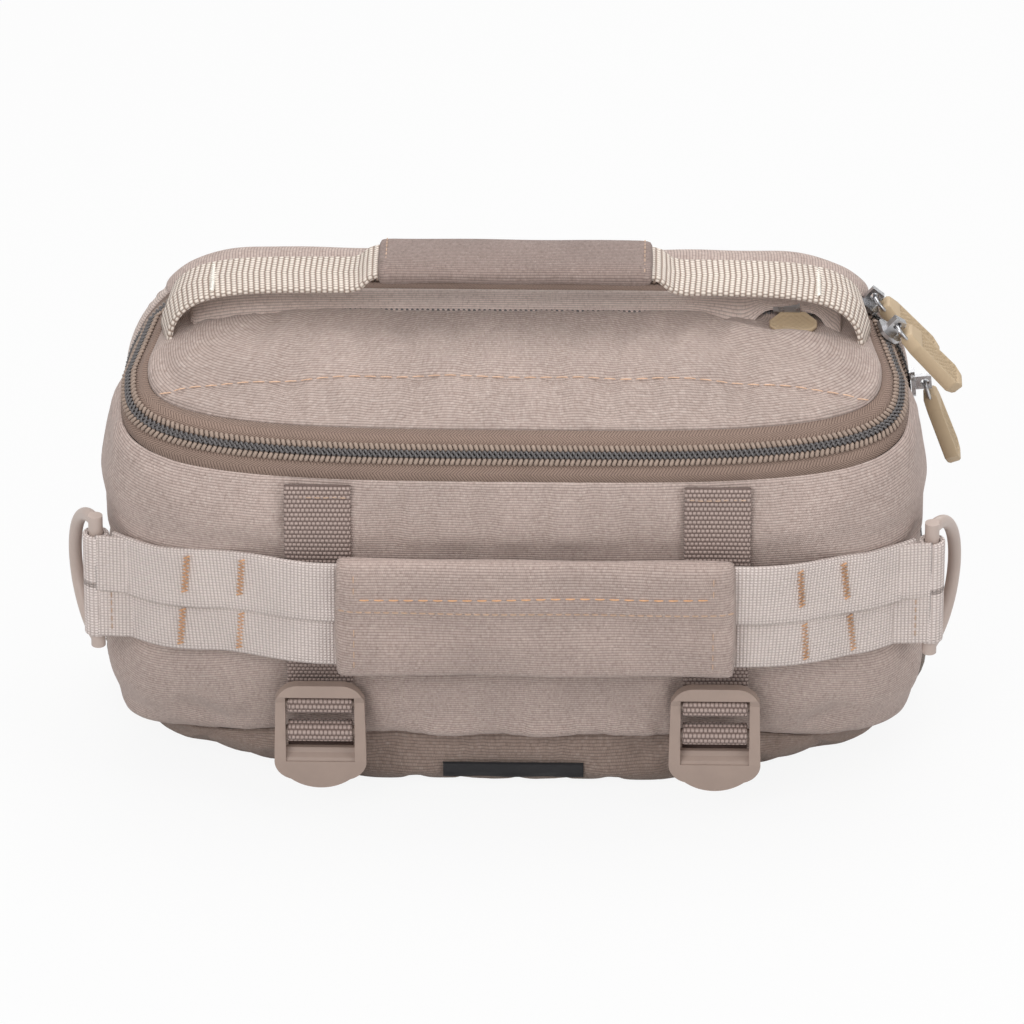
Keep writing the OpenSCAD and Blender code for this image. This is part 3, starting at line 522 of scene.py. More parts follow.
def twillGroup():
    # herringbone tape: slanted ribs that turn at each column, with painted shade in the grooves between them
    tree, start, end = newGroup("twillTape", ("Colour", "Height"), Main_Colour=(0.3, 0.2, 0.2, 1),
                                Groove_Colour=(0.1, 0.08, 0.07, 1), Pitch=0.9)
    u, v = splitVector(tree, start["Vector"])
    slant = plus(tree, v, maths(tree, "PINGPONG", u, 1.9))
    turns = maths(tree, "DIVIDE", times(tree, slant, math.pi), start["Pitch"])
    rib = maths(tree, "ABSOLUTE", maths(tree, "SINE", turns))
    fibre = yarnNoise(tree, u, v, 2.0, 2.0, 3.0, 0.6)
    # painted shade: the grooves between the ribs take the darker Groove Colour
    groove = remap(tree, rib, 0.55, 0.05)
    colour = mixColour(tree, groove, start["Main Colour"], start["Groove Colour"])
    colour = shaded(tree, colour, remap(tree, fibre, 0.3, 0.7, 0.88, 1.12))
    return giveOut(tree, end, Colour=colour, Height=rib)


def wearGroup():
    # broad handling marks and a little dust
    tree, start, end = newGroup("handling", ("Colour", "Mask"), Colour=(0.5, 0.5, 0.5, 1), Amount=0.1,
                                Size=30.0)
    spots = noiseValue(tree, start["Vector"], start["Size"], 4.0, 0.6)
    tone = times(tree, remap(tree, spots, 0.3, 0.7, -1.0, 1.0), start["Amount"])
    colour = shaded(tree, start["Colour"], plus(tree, tone, 1.0))
    return giveOut(tree, end, Colour=colour, Mask=spots)


groups = {
    "cloth": heatherClothGroup(),
    "webbing": webbingGroup(),
    "twill": twillGroup(),
    "wear": wearGroup(),
}


def material(name, roughness, sheen=0.0, specular=0.35):
    made = bpy.data.materials.new(name)
    made.use_nodes = True
    shader = made.node_tree.nodes["Principled BSDF"]
    for label, value in (("Roughness", roughness), ("Sheen Weight", sheen), ("Sheen Roughness", 0.45),
                         ("Specular IOR Level", specular)):
        shader.inputs[label].default_value = value
    return made, made.node_tree, shader


def useGroup(tree, key, **values):
    node = tree.nodes.new("ShaderNodeGroup")
    node.node_tree = groups[key]
    for label, value in values.items():
        feed(tree, value, node.inputs[label.replace("_", " ")])
    return node.outputs


def clothVector(tree, spin=False):
    node = tree.nodes.new("ShaderNodeUVMap")
    node.uv_map = "cloth"
    if not spin:
        return node.outputs[0]
    x, y = splitVector(tree, node.outputs[0])
    return combine(tree, y, x)


def objectVector(tree):
    return tree.nodes.new("ShaderNodeTexCoord").outputs["Object"]


def bumpFrom(tree, shader, height, strength, distance):
    node = tree.nodes.new("ShaderNodeBump")
    node.inputs["Strength"].default_value = strength
    node.inputs["Distance"].default_value = distance / 1000
    tree.links.new(height, node.inputs["Height"])
    tree.links.new(node.outputs[0], shader.inputs["Normal"])


def wornColour(tree, shader, colour, amount, size):
    # base colour with handling marks; gives back the marks
    worn = useGroup(tree, "wear", Vector=objectVector(tree), Colour=colour, Amount=amount, Size=size)
    tree.links.new(worn["Colour"], shader.inputs["Base Color"])
    return worn["Mask"]


def roughnessFrom(tree, shader, value, low, high, toLow, toHigh):
    tree.links.new(remap(tree, value, low, high, toLow, toHigh), shader.inputs["Roughness"])


def clothMaterial(name, main, dark, light, pitch=0.9, heather=0.5, spin=False):
    made, tree, shader = material(name, 0.9, sheen=0.12)
    weave = useGroup(tree, "cloth", Vector=clothVector(tree, spin), Main_Colour=linear(main),
                     Dark_Yarn=linear(dark), Light_Yarn=linear(light), Rib_Pitch=pitch, Heather=heather)
    wornColour(tree, shader, weave["Colour"], 0.07, 38.0)
    roughnessFrom(tree, shader, weave["Fuzz"], 0.2, 0.8, 0.84, 0.97)
    bumpFrom(tree, shader, weave["Height"], 0.5, 0.35)
    return made


def webbingMaterial(name, main, groove, ribPitch, columnPitch, depth, bump, stagger=0.5):
    made, tree, shader = material(name, 0.7, sheen=0.1, specular=0.45)
    weave = useGroup(tree, "webbing", Vector=clothVector(tree), Main_Colour=linear(main), Depth=depth,
                     Groove_Colour=linear(groove), Rib_Pitch=ribPitch, Column_Pitch=columnPitch,
                     Stagger=stagger)
    wornColour(tree, shader, weave["Colour"], 0.05, 60.0)
    roughnessFrom(tree, shader, weave["Height"], 0.0, 1.0, 0.8, 0.6)
    bumpFrom(tree, shader, weave["Height"], bump, 0.45)
    return made


def tapeMaterial(name, main, groove):
    made, tree, shader = material(name, 0.8, sheen=0.08)
    weave = useGroup(tree, "twill", Vector=clothVector(tree), Main_Colour=linear(main),
                     Groove_Colour=linear(groove), Pitch=0.95)
    wornColour(tree, shader, weave["Colour"], 0.06, 50.0)
    bumpFrom(tree, shader, weave["Height"], 0.6, 0.3)
    return made


def mouldedMaterial(name, colour, roughness, grain=900.0, bump=0.12, specular=0.4):
    made, tree, shader = material(name, roughness, specular=specular)
    marks = wornColour(tree, shader, linear(colour), 0.05, 90.0)
    roughnessFrom(tree, shader, marks, 0.3, 0.7, roughness - 0.06, roughness + 0.08)
    bumpFrom(tree, shader, noiseValue(tree, objectVector(tree), grain, 3.0, 0.6), bump, 0.2)
    return made


def metalMaterial(name, colour, roughness):
    made, tree, shader = material(name, roughness)
    shader.inputs["Metallic"].default_value = 1.0
    marks = wornColour(tree, shader, linear(colour), 0.08, 300.0)
    roughnessFrom(tree, shader, marks, 0.3, 0.7, roughness - 0.08, roughness + 0.12)
    bumpFrom(tree, shader, noiseValue(tree, objectVector(tree), 1500.0), 0.05, 0.1)
    return made


def threadMaterial(name, colour):
    made, tree, shader = material(name, 0.6, sheen=0.1)
    wornColour(tree, shader, linear(colour), 0.15, 700.0)
    bumpFrom(tree, shader, noiseValue(tree, objectVector(tree), 2500.0), 0.4, 0.15)
    return made


look = {
    "shell": clothMaterial("shellFabric", (186, 167, 159), (132, 110, 100), (214, 200, 191)),
    # painted shade: the lid is the shell's cloth, made darker to hold down the stronger light on its
    # up-facing top
    "lid": clothMaterial("lidFabricPaintedShade", (178, 160, 152), (130, 108, 98), (210, 195, 187)),
    # painted light: the lid's cloth made lighter, to brighten the flap that lies in the handle's shadow
    "flap": clothMaterial("flapFabricPaintedLight", (216, 198, 190), (152, 130, 120), (228, 214, 206), spin=True),
    # painted light: the shell's cloth made lighter for the light that falls on the up-facing top of the back,
    # used all round the gusset
    "gusset": clothMaterial("gussetFabricPaintedLight", (208, 192, 184), (160, 140, 130), (230, 218, 211)),
    "sleeve": clothMaterial("sleeveFabric", (180, 161, 153), (126, 105, 96), (206, 190, 182), spin=True),
    # painted shade: the grip sleeve's cloth made darker, to hold down the light on the handle's up-facing
    # sleeve
    "handleSleeve": clothMaterial("handleSleeveFabricPaintedShade", (146, 128, 121), (102, 84, 76), (172, 156, 148),
                                  spin=True),
    # painted shade: the shell's cloth made darker for the shade on the lower front and underside; the rear
    # floor uses it too
    "boot": clothMaterial("bootFabricPaintedShade", (150, 131, 121), (104, 84, 75), (176, 160, 150)),
    "lining": clothMaterial("liningFabric", (142, 130, 122), (110, 98, 92), (160, 150, 142), 0.6, 0.2),
    "mesh": webbingMaterial("meshFabric", (132, 121, 114), (62, 55, 51), 3.2, 1.6, 0.8, 0.9),
    "tape": tapeMaterial("zipTape", (146, 124, 112), (96, 78, 69)),
    "strap": webbingMaterial("strapWebbing", (190, 169, 161), (104, 84, 77), 1.43, 1.3, 0.95, 1.0),
    "band": webbingMaterial("bandWebbing", (246, 232, 226), (184, 165, 158), 1.12, 0.95, 0.7, 1.0, 0.0),
    "handle": webbingMaterial("handleWebbing", (244, 231, 219), (140, 116, 101), 1.7, 1.35, 0.95, 1.0),
    "label": clothMaterial("labelWeave", (40, 39, 42), (26, 25, 28), (58, 57, 60), 0.45, 0.4),
    # the buckles and rings are one plastic; the rings' lighter copy is painted light
    "plastic": mouldedMaterial("bucklePlastic", (168, 148, 137), 0.4),
    "ringPlasticPaintedLight": mouldedMaterial("ringPlasticPaintedLight", (190, 173, 164), 0.4),
    "rubber": mouldedMaterial("pullRubber", (190, 168, 138), 0.6, 500.0, 0.2),
    "teeth": mouldedMaterial("zipTeeth", (96, 92, 92), 0.34, 1500.0, 0.05, specular=0.6),
    "chainThread": threadMaterial("chainThread", (158, 139, 126)),
    "metal": metalMaterial("zipMetal", (196, 196, 198), 0.28),
    "peachThread": threadMaterial("peachThread", (222, 184, 156)),
    "orangeThread": threadMaterial("orangeThread", (222, 172, 132)),
    "whiteThread": threadMaterial("whiteThread", (246, 240, 230)),
    "tanThread": threadMaterial("tanThread", (196, 166, 144)),
}
print("materials ready")


# Places along a thread and its width there
threadShape = ((-0.5, 0.25), (-0.38, 0.85), (0.0, 1.0), (0.38, 0.85), (0.5, 0.25))
# Pitch, length and radius of the stitches in each kind of seam, in mm, and their thread
stitchKinds = {
    "lid": (4.8, 3.7, 0.2, "peachThread"),
    "closedEnd": (2.6, 1.9, 0.22, "tanThread"),
    "gripLong": (4.3, 3.0, 0.28, "orangeThread"),
    "gripDense": (2.7, 2.0, 0.3, "tanThread"),
    "gripEnd": (3.2, 2.3, 0.2, "tanThread"),
    "webbing": (2.4, 1.8, 0.22, "tanThread"),
}


def addThread(verts, faces, centres, sizes, side, up):
    # one six-sided thread through the centres, closed at both ends
    base = len(verts)
    for centre, (wide, high) in zip(centres, sizes):
        for a in np.linspace(0, 2 * math.pi, 6, endpoint=False):
            verts.append(centre + side * math.cos(a) * wide + up * math.sin(a) * high)
    last = base + 6 * (len(centres) - 1)
    for row in range(base, last, 6):
        for i in range(6):
            j = (i + 1) % 6
            faces.append((row + i, row + j, row + 6 + j, row + 6 + i))
    faces.append(tuple(base + i for i in range(5, -1, -1)))
    faces.append(tuple(last + i for i in range(6)))


def seamRow(name, path, out, kind, body, slotName):
    # a row of short rounded threads lying along a path
    pitch, length, radius, thread = stitchKinds[kind]
    path = np.asarray(path, float)
    at = pathLengths(path)
    count = max(1, int(at[-1] / pitch))
    outs = np.broadcast_to(np.asarray(out, float), path.shape)
    sizes = [(radius * size, radius * size) for _, size in threadShape]
    verts, faces = [], []
    for k in range(count):
        middle = (k + 0.5) * at[-1] / count
        start = valueAt(middle - length / 2, at, path)
        end = valueAt(middle + length / 2, at, path)
        along = unit(end - start)
        side = unit(np.cross(valueAt(middle, at, outs), along))
        lift = np.cross(along, side)
        centres = [(start + end) / 2 + along * share * length + lift * (0.2 - abs(share) * radius * 1.2)
                   for share, _ in threadShape]
        addThread(verts, faces, centres, sizes, side, lift)
    return ride(meshPiece(name, place(verts), faces), body, look[thread], slotName)


zipLook = {"tapeWidth": 5.6, "tapeThick": 1.0, "tapeColumns": 160, "coilWidth": 2.2, "gap": 1.6,
           "pitch": 1.55, "wire": 0.42, "coilOffset": 0.5, "stitchOffset": 2.1, "stitchLength": 2.3,
           "sideTurn": 2.8, "lidBackInset": 0.6}
coilSizes = {"front": (1.7, 1.5), "rear": (2.1, 1.5), "pocket": (3.4, 0.9)}  # width and height
coilStart = zipLook["tapeWidth"]
lidCoilStart = coilStart + zipLook["coilWidth"] + zipLook["gap"]
zipMiddle = coilStart + zipLook["coilWidth"] + zipLook["gap"] / 2


def coilRow(name, path, out, size, body, node):
    # one row of coil teeth: a flattened helix along the path
    width, height = size
    steps = 9
    wire = zipLook["wire"]
    path = resample(path, 400)
    turns = int(pathLengths(path)[-1] / zipLook["pitch"])
    line = resample(path, turns * steps + 1)
    along, side, up = framesAlong(line, spreadOver(out, path, len(line)))
    phase = np.arange(len(line)) / steps * 2 * math.pi
    helix = line + side * (np.cos(phase) * (width / 2 - wire))[:, None] \
        + up * (np.sin(phase) * (height / 2 - wire) + height / 2)[:, None]
    return ride(tube(name, helix, wire, 5, out=up), body, look["teeth"], "zip_teeth", node)


def underTurn(points, share):
    # at the sides the tape and the cloth below it turn in under the coil
    points = np.array(points, float)
    amount = zipLook["sideTurn"] * smooth(np.abs(points[..., 0]), 96, 120) * share
    points[..., 0] -= np.sign(points[..., 0]) * amount
    return points


def zipStrip(name, low, high, backInset=0.0):
    # tape on the slanted band between two distances up the band
    thick = zipLook["tapeThick"]
    section = [(low, 0.0), (mix(low, high, 0.5), 0.12), (high, 0.0), (high, -thick), (low, -thick)]
    rings = [underTurn(bandRing(d, h, zipLook["tapeColumns"], backInset), max(0.0, 1 - d / coilStart))
             for d, h in section]
    return loft(name, np.array(rings).transpose(1, 0, 2))


def bandNormals(count):
    return bandRing(8, 1, count) - bandRing(8, 0, count)


def chainStitches(name, path, out, side, body):
    # slanted thread loops that hold the coil to its tape
    path = resample(path, 500)
    count = int(pathLengths(path)[-1] / zipLook["pitch"])
    line = resample(path, count)
    along, across, up = framesAlong(line, spreadOver(out, path, count))
    shape = ((-0.5, 0.5), (-0.3, 1.0), (0.3, 1.0), (0.5, 0.5))
    sizes = [(size * 0.64, size * 0.55) for _, size in shape]
    verts, faces = [], []
    for k in range(count):
        direction = unit(across[k] * side + along[k] * 0.4)
        centres = [line[k] + direction * share * zipLook["stitchLength"] + up[k] * (0.45 - abs(share) * 0.6)
                   for share, _ in shape]
        addThread(verts, faces, centres, sizes, np.cross(up[k], direction), up[k])
    return ride(meshPiece(name, place(verts), faces), body, look["chainThread"], "zip_tape")


frontTape = zipStrip("frontZipTape", 0.6, coilStart + 2.4)
ride(frontTape, "pack", look["tape"], "zip_tape", "front_zip_tape")
lidTape = zipStrip("lidZipTape", lidCoilStart - 0.4, pack["bandWidth"] - 0.8, zipLook["lidBackInset"])
ride(lidTape, "lid", look["tape"], "zip_tape", "lid_zip_tape")
for half, body, side, backInset in (("front", "pack", -1, 0.0), ("lid", "lid", 1, zipLook["lidBackInset"])):
    line = bandRing(zipMiddle + side * zipLook["coilOffset"], 0.1, 400, backInset)
    coilRow(f"{half}ZipCoil", line, bandNormals(400), coilSizes["front"], body, f"{half}_zip_coil")
    line = bandRing(zipMiddle + side * zipLook["stitchOffset"], 0.35, 500, backInset)
    chainStitches(f"{half}ChainStitches", line, bandNormals(500), -side, body)
print("front zip ready")

strapLook = {"width": 20.0, "thick": 1.5, "x": 60.0, "shift": 1.5, "barHeight": 39.5, "barPitch": 10.0,
             "peelFrom": 65.0, "loopInner": 1.9}
tub = {"columns": 170, "wall": 2.4, "wallRows": 40, "bootRows": 9, "growth": 0.035, "pressure": 1.0,
       "seamDrop": 0.5, "cornerLift": 4.0, "cornerDraw": 2.0, "reach": 3.2, "stand": 1.8,
       "wallTop": 0.985}


def seamShare(x):
    # height share of the seam over the bottom panel, lower towards the corners
    middle = pack["bootHeight"] / pack["zipHeight"]
    return middle * (1 - tub["seamDrop"] * smooth(np.abs(x), 62, 108))


def tubRows():
    # rings from the middle of the underside up to the rolled edge below the zip, with their kind
    count = tub["columns"]
    edge = pack["baseEdge"]
    baseShare = edge / pack["zipHeight"]
    rows = []
    for k in range(1, 7):
        ring = shellRing(0, edge + 1.2, count)
        ring[:, 2] = 0
        middle = np.array([0, pack["frontDepth"] - 6, 0])
        rows.append((mix(middle, ring, k / 6), "base"))
    for a in (0, 30, 60):
        a = math.radians(a)
        ring = shellRing(0, edge * (1 - math.sin(a)), count)
        ring[:, 2] = edge * (1 - math.cos(a))
        rows.append((ring, "boot"))
    shares = np.linspace(baseShare, tub["wallTop"], 90)
    walls = np.array([shellRing(t, 0, count) for t in shares])
    seams = seamShare(walls[10, :, 0])

    def wallRing(level):
        return np.array([valueAt(level[i], shares, walls[:, i]) for i in range(count)])

    for u in np.linspace(0, 1, tub["bootRows"]):
        rows.append((wallRing(mix(baseShare, seams, u)), "boot"))
    for u in np.linspace(0, 1, tub["wallRows"])[1:]:
        rows.append((wallRing(mix(seams, tub["wallTop"], u)), "wall"))
    for inset, lift in ((-0.1, 0.1), (0.5, 0.5), (1.2, -0.4)):
        rows.append((shellRing(1, inset, count, lift), "wall"))
    return [(underTurn(tuckCorners(ring), smooth(ring[:, 2], 92, 134)), kind) for ring, kind in rows]


def tuckCorners(ring):
    # the soft base corners are drawn in and lifted off the ground
    low = 1 - smooth(ring[:, 2], 4, 34)
    corner = smooth(np.abs(ring[:, 0]), 50, 100) * (1 - smooth(ring[:, 1], 48, 66))
    ring = ring.copy()
    ring[:, 2] += tub["cornerLift"] * low * corner
    ring[:, 0] -= np.sign(ring[:, 0]) * tub["cornerDraw"] * low * corner
    ring[:, 1] += tub["cornerDraw"] * low * corner
    return ring


rows = tubRows()
kinds = [kind for _, kind in rows]
rings = np.array([ring for ring, _ in rows])
seamLevel = max(k for k, kind in enumerate(kinds) if kind == "boot")
tubPiece = loft("tub", rings, wrap=False, recalc=False)
cols = tub["columns"]
pins = []
for k in range(len(rows)):
    for i in range(cols):
        edgeColumn = i in (0, cols - 1)
        if kinds[k] == "base" or k >= len(rows) - 3 or edgeColumn or k == seamLevel:
            pins.append(k * cols + i)
puff(tubPiece, pins, tub["pressure"], tub["growth"], tub["reach"])
shape = vertsOf(tubPiece).reshape(len(rows), cols, 3)
bpy.data.objects.remove(tubPiece)


def outwardFrom(points):
    out = points - [0, 60, 0]
    out[..., 2] = 0
    return unit(out)


def pressed(points):
    # 1 where the band, the straps or the label hold the cloth down
    x, z = points[..., 0], points[..., 2]
    bandPart = smooth(z, 46, 54) * (1 - smooth(z, 96, 102))
    fromStrap = np.abs(np.abs(x - strapLook["shift"]) - strapLook["x"])
    strapPart = 1 - smooth(fromStrap, strapLook["width"] / 2, 16)
    labelPart = (1 - smooth(np.abs(x), 21, 27)) * (1 - smooth(z, 12, 18))
    frontPart = 1 - smooth(points[..., 1], 26, 40)
    return np.maximum(bandPart, np.maximum(strapPart, labelPart) * frontPart)


def settle(points, limit):
    # lets the cloth stand out from its pattern by limit, and hardly at all where it is held down
    out = outwardFrom(rings)
    stand = ((points - rings) * out).sum(axis=2)
    most = np.where(pressed(rings) > 0, limit * (1 - pressed(rings)) + 0.15, limit)
    return points - out * np.maximum(0, stand - most)[..., None]


shape = settle(shape, tub["stand"])
tubCloth = {"hang": 3.2, "hangAt": 3.4, "tuck": 2.0, "groove": 2.4, "slowWaves": 0.9, "fineWaves": 0.35,
            "topPucker": 0.4, "folds": 0.5, "pressedTo": 0.4}


def shapeTub(points):
    # the front hangs over the puckered seam, and slow waves run through the cloth
    flat = points.copy()
    outward = outwardFrom(flat)
    above = flat[..., 2] - shape[seamLevel][None, :, 2]
    wallPart = smooth(flat[..., 2], 2, 10)
    lumps = 0.55 + 0.45 * ripple(flat * [1, 1, 0.05], 21, 3.0)
    hang = np.exp(-((above - tubCloth["hangAt"]) / 3.2) ** 2) * lumps * tubCloth["hang"]
    under = -smooth(-above, 0, 2.5) * (1 - smooth(-above, 9, 16)) * tubCloth["tuck"]
    groove = np.exp(-(above / 1.2) ** 2) * -tubCloth["groove"]
    waves = ripple(flat * [1, 1, 0.6], 60, 5.0) * tubCloth["slowWaves"] \
        + ripple(flat * [1, 1, 0.5], 26, 8.0) * tubCloth["fineWaves"]
    top = np.exp(-((flat[..., 2] - shape[-1][None, :, 2]) / 9.0) ** 2)
    topPucker = ripple(flat * [1, 1, 0.15], 11, 11.0) * top * tubCloth["topPucker"]
    folds = np.exp(-((above - 12) / 10.0) ** 2) * ripple(flat * [1, 1, 0.35], 17, 14.0) * tubCloth["folds"]
    move = (hang + under + groove + waves * (1 - top) + topPucker + folds) * wallPart
    move = move * (1 - 0.85 * pressed(rings)) - tubCloth["pressedTo"] * pressed(rings)
    flat[..., 2] -= hang * wallPart * 0.6
    return flat + outward * move[..., None]


shape = shapeTub(shape)
bottom = loft("bottomPanel", shape[:seamLevel + 1], wrap=False, recalc=False)
front = loft("frontPanel", shape[seamLevel:], wrap=False, recalc=False)
for piece in (bottom, front):
    thicken(piece, tub["wall"])
    subdivide(piece)
ride(bottom, "pack", look["boot"], "boot_fabric", "bottom_panel")
ride(front, "pack", look["shell"], "shell_fabric", "front_shell")
print("front compartment ready")

handle = {"depth": 56.0, "height": 163.6, "width": 19.0, "thick": 1.8, "sleeveHalf": 41.6,
          "sleeveWidth": 23.4, "sleeveThick": 6.3, "drop": 5.0, "tackX": 91.0}
lidLook = {"columns": 130, "rows": 40, "thick": 2.2, "growth": 0.03, "pressure": 0.6, "reach": 3.0,
           "stitchDepth": 28.0}
foldLook = {"depth": 54.0, "rightBow": 8.6, "leftBow": 3.5, "height": 2.1, "end": 65.0, "halfWidth": 99.0}


def foldDepth(x):
    # the fold of the lid's cloth bows forward to the sides, most where the pocket's pull lies behind it
    bow = foldLook["rightBow"] * smooth(x, 52, 74) + foldLook["leftBow"] * smooth(-x, 45, 95)
    return foldLook["depth"] - bow


def lidRing(u, raiseBy):
    rise = lidRise + pack["lidCrown"] * float(crownShare(u)) + raiseBy
    return zipRing(lidInset + pack["lidCurve"] * u, rise, lidLook["columns"], zipLook["lidBackInset"])


def stitchLine(x):
    # depth of the seam across the lid
    return lidLook["stitchDepth"] + 2.0 * np.cos(x / 60) - 2.0


lidRings = [lidRing(-0.004, -1.6), lidRing(-0.012, -0.3), lidRing(0.0, 0.35)]
lidRings += [lidRing(u, 0.5 * math.exp(-u * 9)) for u in np.linspace(0.02, 1.31, lidLook["rows"])]
lidPiece = loft("lidTop", lidRings, wrap=False, recalc=False)
cols = lidLook["columns"]
pins = []
for k, ring in enumerate(lidRings):
    for i in range(cols):
        if k < 3 or k == len(lidRings) - 1 or i in (0, cols - 1) or ring[i, 1] > handle["depth"]:
            pins.append(k * cols + i)
puff(lidPiece, pins, lidLook["pressure"], lidLook["growth"], lidLook["reach"])
co = vertsOf(lidPiece)
line = stitchLine(co[:, 0])
nearLine = np.exp(-((co[:, 1] - line) / 1.6) ** 2)
inside = smooth(co[:, 2], 130, 134)
puckers = ripple(co * [1, 0.25, 1], 15, 2.0) * np.exp(-((co[:, 1] - line) / 9) ** 2)
frontPuckers = ripple(co * [1, 0.2, 1], 20, 12.0) * (1 - smooth(co[:, 1], 16, 26))
behind = co[:, 1] - foldDepth(co[:, 0])
crest = np.where(behind < 0, np.exp(-(behind / 5.0) ** 2), np.exp(-(behind / 1.1) ** 2))
co[:, 2] += foldLook["height"] * crest * (1 - smooth(np.abs(co[:, 0]), 88, 104))
folds = -0.6 * nearLine + puckers * 0.2 + frontPuckers * 0.3 + ripple(co, 60, 4.0) * 0.6
co[:, 2] += folds * inside
lidPiece.data.vertices.foreach_set("co", place(co).ravel())
thicken(lidPiece, lidLook["thick"])
subdivide(lidPiece)
ride(lidPiece, "lid", look["lid"], "shell_fabric", "lid_shell")
lidTree = surfaceTree(lidPiece)


def lidSurface(x, depth):
    # height of the finished lid under a place
    hit = lidTree.ray_cast(Vector(place([[x, depth, 220]])[0]), Vector((0, 0, -1)))
    return hit[0].z * 1000 if hit[0] else float(lidTop(x, depth))


path = np.array([(x, stitchLine(x), lidSurface(x, stitchLine(x))) for x in np.linspace(-107, 107, 120)])
top = np.array([path[max(0, k - 2):k + 3, 2].max() for k in range(len(path))])
path[3:-3, 2] = np.convolve(top, np.ones(7) / 7, "valid") + 0.12
seamRow("lidTopstitch", path, (0, -0.2, 1), "lid", "lid", "shell_fabric")


def flapSection(x):
    # the cloth that covers the pocket's zip, rising from behind the fold to the handle
    pullPart = float(smooth(x, 69, 75) * (1 - smooth(x, 92, 96)))
    front = mix(float(foldDepth(x)) + 1.0, 55.9, pullPart)
    low = mix(0.1, 1.5, pullPart)
    points = [(front, low), (front + 0.6, low + 0.5), (mix(front, 60, 0.5), mix(1.5, 2.9, pullPart)),
              (60.0, mix(2.4, 3.0, pullPart)), (63.0, 2.2), (foldLook["end"], 1.4), (foldLook["end"], 0.2),
              (62.0, 0.3), (mix(front, 60, 0.6), mix(0.2, 2.2, pullPart))]
    return [(x, d, float(lidTop(x, d)) + h) for d, h in points]


flapWidth = np.linspace(-foldLook["halfWidth"], foldLook["halfWidth"], 60)
flap = loft("pocketFlap", [flapSection(x) for x in flapWidth])
subdivide(flap)
ride(flap, "lid", look["flap"], "shell_fabric", "lid_flap")
pocketLine = [(x, 57.4, float(lidTop(min(x, 80), 57.4)) + 0.1) for x in np.linspace(-68, 90, 60)]
coilRow("pocketCoil", pocketLine, (0, -0.2, 1), coilSizes["pocket"], "lid", "pocket_coil")
print("lid ready")

handleReach = float(lidReach(handle["depth"])) - 0.3
handleFoot = float(lidTop(handleReach - 0.8, handle["depth"])) + 0.3


def handleHeight(x):
    top = handle["height"] - handle["drop"] * float(smooth(abs(x), 41.5, 49.5))
    height = handleFoot + (top - handleFoot) * max(0, 1 - (abs(x) / handleReach) ** 10) ** 0.5
    return min(height, handle["height"])


def handleWebbing():
    xs = handleReach * np.sin(np.linspace(-math.pi / 2, math.pi / 2, 97))
    path = resample([(x, 0, handleHeight(x)) for x in xs], 110)
    along = unit(np.gradient(path, axis=0))
    section = webbingSection(handle["width"], handle["thick"])
    rings = []
    for (x, _, z), (ax, _, az) in zip(path, along):
        low = 1 - (z - handleFoot) / (handle["height"] - handleFoot)
        ring = []
        for s, t in section:
            ring.append((x - az * t - math.copysign(low * s * pack["rearDraw"] / 24, x),
                         handle["depth"] + s, z + ax * t + low * s * pack["zipSlope"]))
        rings.append(ring)
    return np.array(rings)


handleStrap = loft("handleWebbing", handleWebbing())
ride(handleStrap, "lid", look["handle"], "band_webbing", "handle_webbing")
for side in (-1, 1):
    x = handle["tackX"]
    tack = [(side * (x + 0.9 * (n % 2)), handle["depth"] - 8.5 + n * 0.68, handleHeight(x) + 0.9)
            for n in range(26)]
    row = tube(f"handleTack{'LR'[side > 0]}", tack, 0.42, 6)
    ride(row, "lid", look["whiteThread"], "band_webbing")


def sleeveRings():
    # puffy tube of cloth round the handle's webbing, from end to end along X
    rings = []
    half = handle["sleeveHalf"]
    for x in np.linspace(-half, half, 48):
        endShare = smooth(half - abs(x), 0, 3.5)
        ring = []
        for a in np.linspace(0, 2 * math.pi, 40, endpoint=False):
            c, s = math.cos(a), math.sin(a)
            y = handle["sleeveWidth"] / 2 * signedPower(c, 0.55)
            z = handle["sleeveThick"] / 2 * signedPower(s, 0.8) * mix(0.75, 1, endShare)
            ring.append((x, y, z))
        rings.append(ring)
    rings = np.array(rings)
    out = unit(rings * [0, 0.3, 1])
    rings = rings + out * (ripple(rings * [0.5, 1, 1], 22, 9.0) * 0.5)[..., None]
    return rings + [0, handle["depth"], handle["height"]]


sleeve = loft("handleSleeve", sleeveRings())
subdivide(sleeve)
ride(sleeve, "lid", look["handleSleeve"], "shell_fabric", "handle_sleeve")
for side in (-1, 1):
    top = [(side * (handle["sleeveHalf"] - 2.6), handle["depth"] + y,
            handle["height"] + 3.0 - 0.008 * y * y * (abs(y) > 5)) for y in np.linspace(-10.5, 10.5, 30)]
    seamRow(f"sleeveStitch{'LR'[side > 0]}", top, (0, 0, 1), "closedEnd", "lid", "shell_fabric")
print("handle ready")

band = {"width": 20.0, "lap": 4.0, "height": 72.0, "thick": 1.6, "stand": 6.0, "rise": 4.0,
        "gripLength": 121.0, "gripShift": 7.0, "gripHeight": 39.5, "gripThick": 9.0, "reach": 34.0,
        "ringX": 126.5, "ringDepth": 20.0, "halfSpan": 112.0}


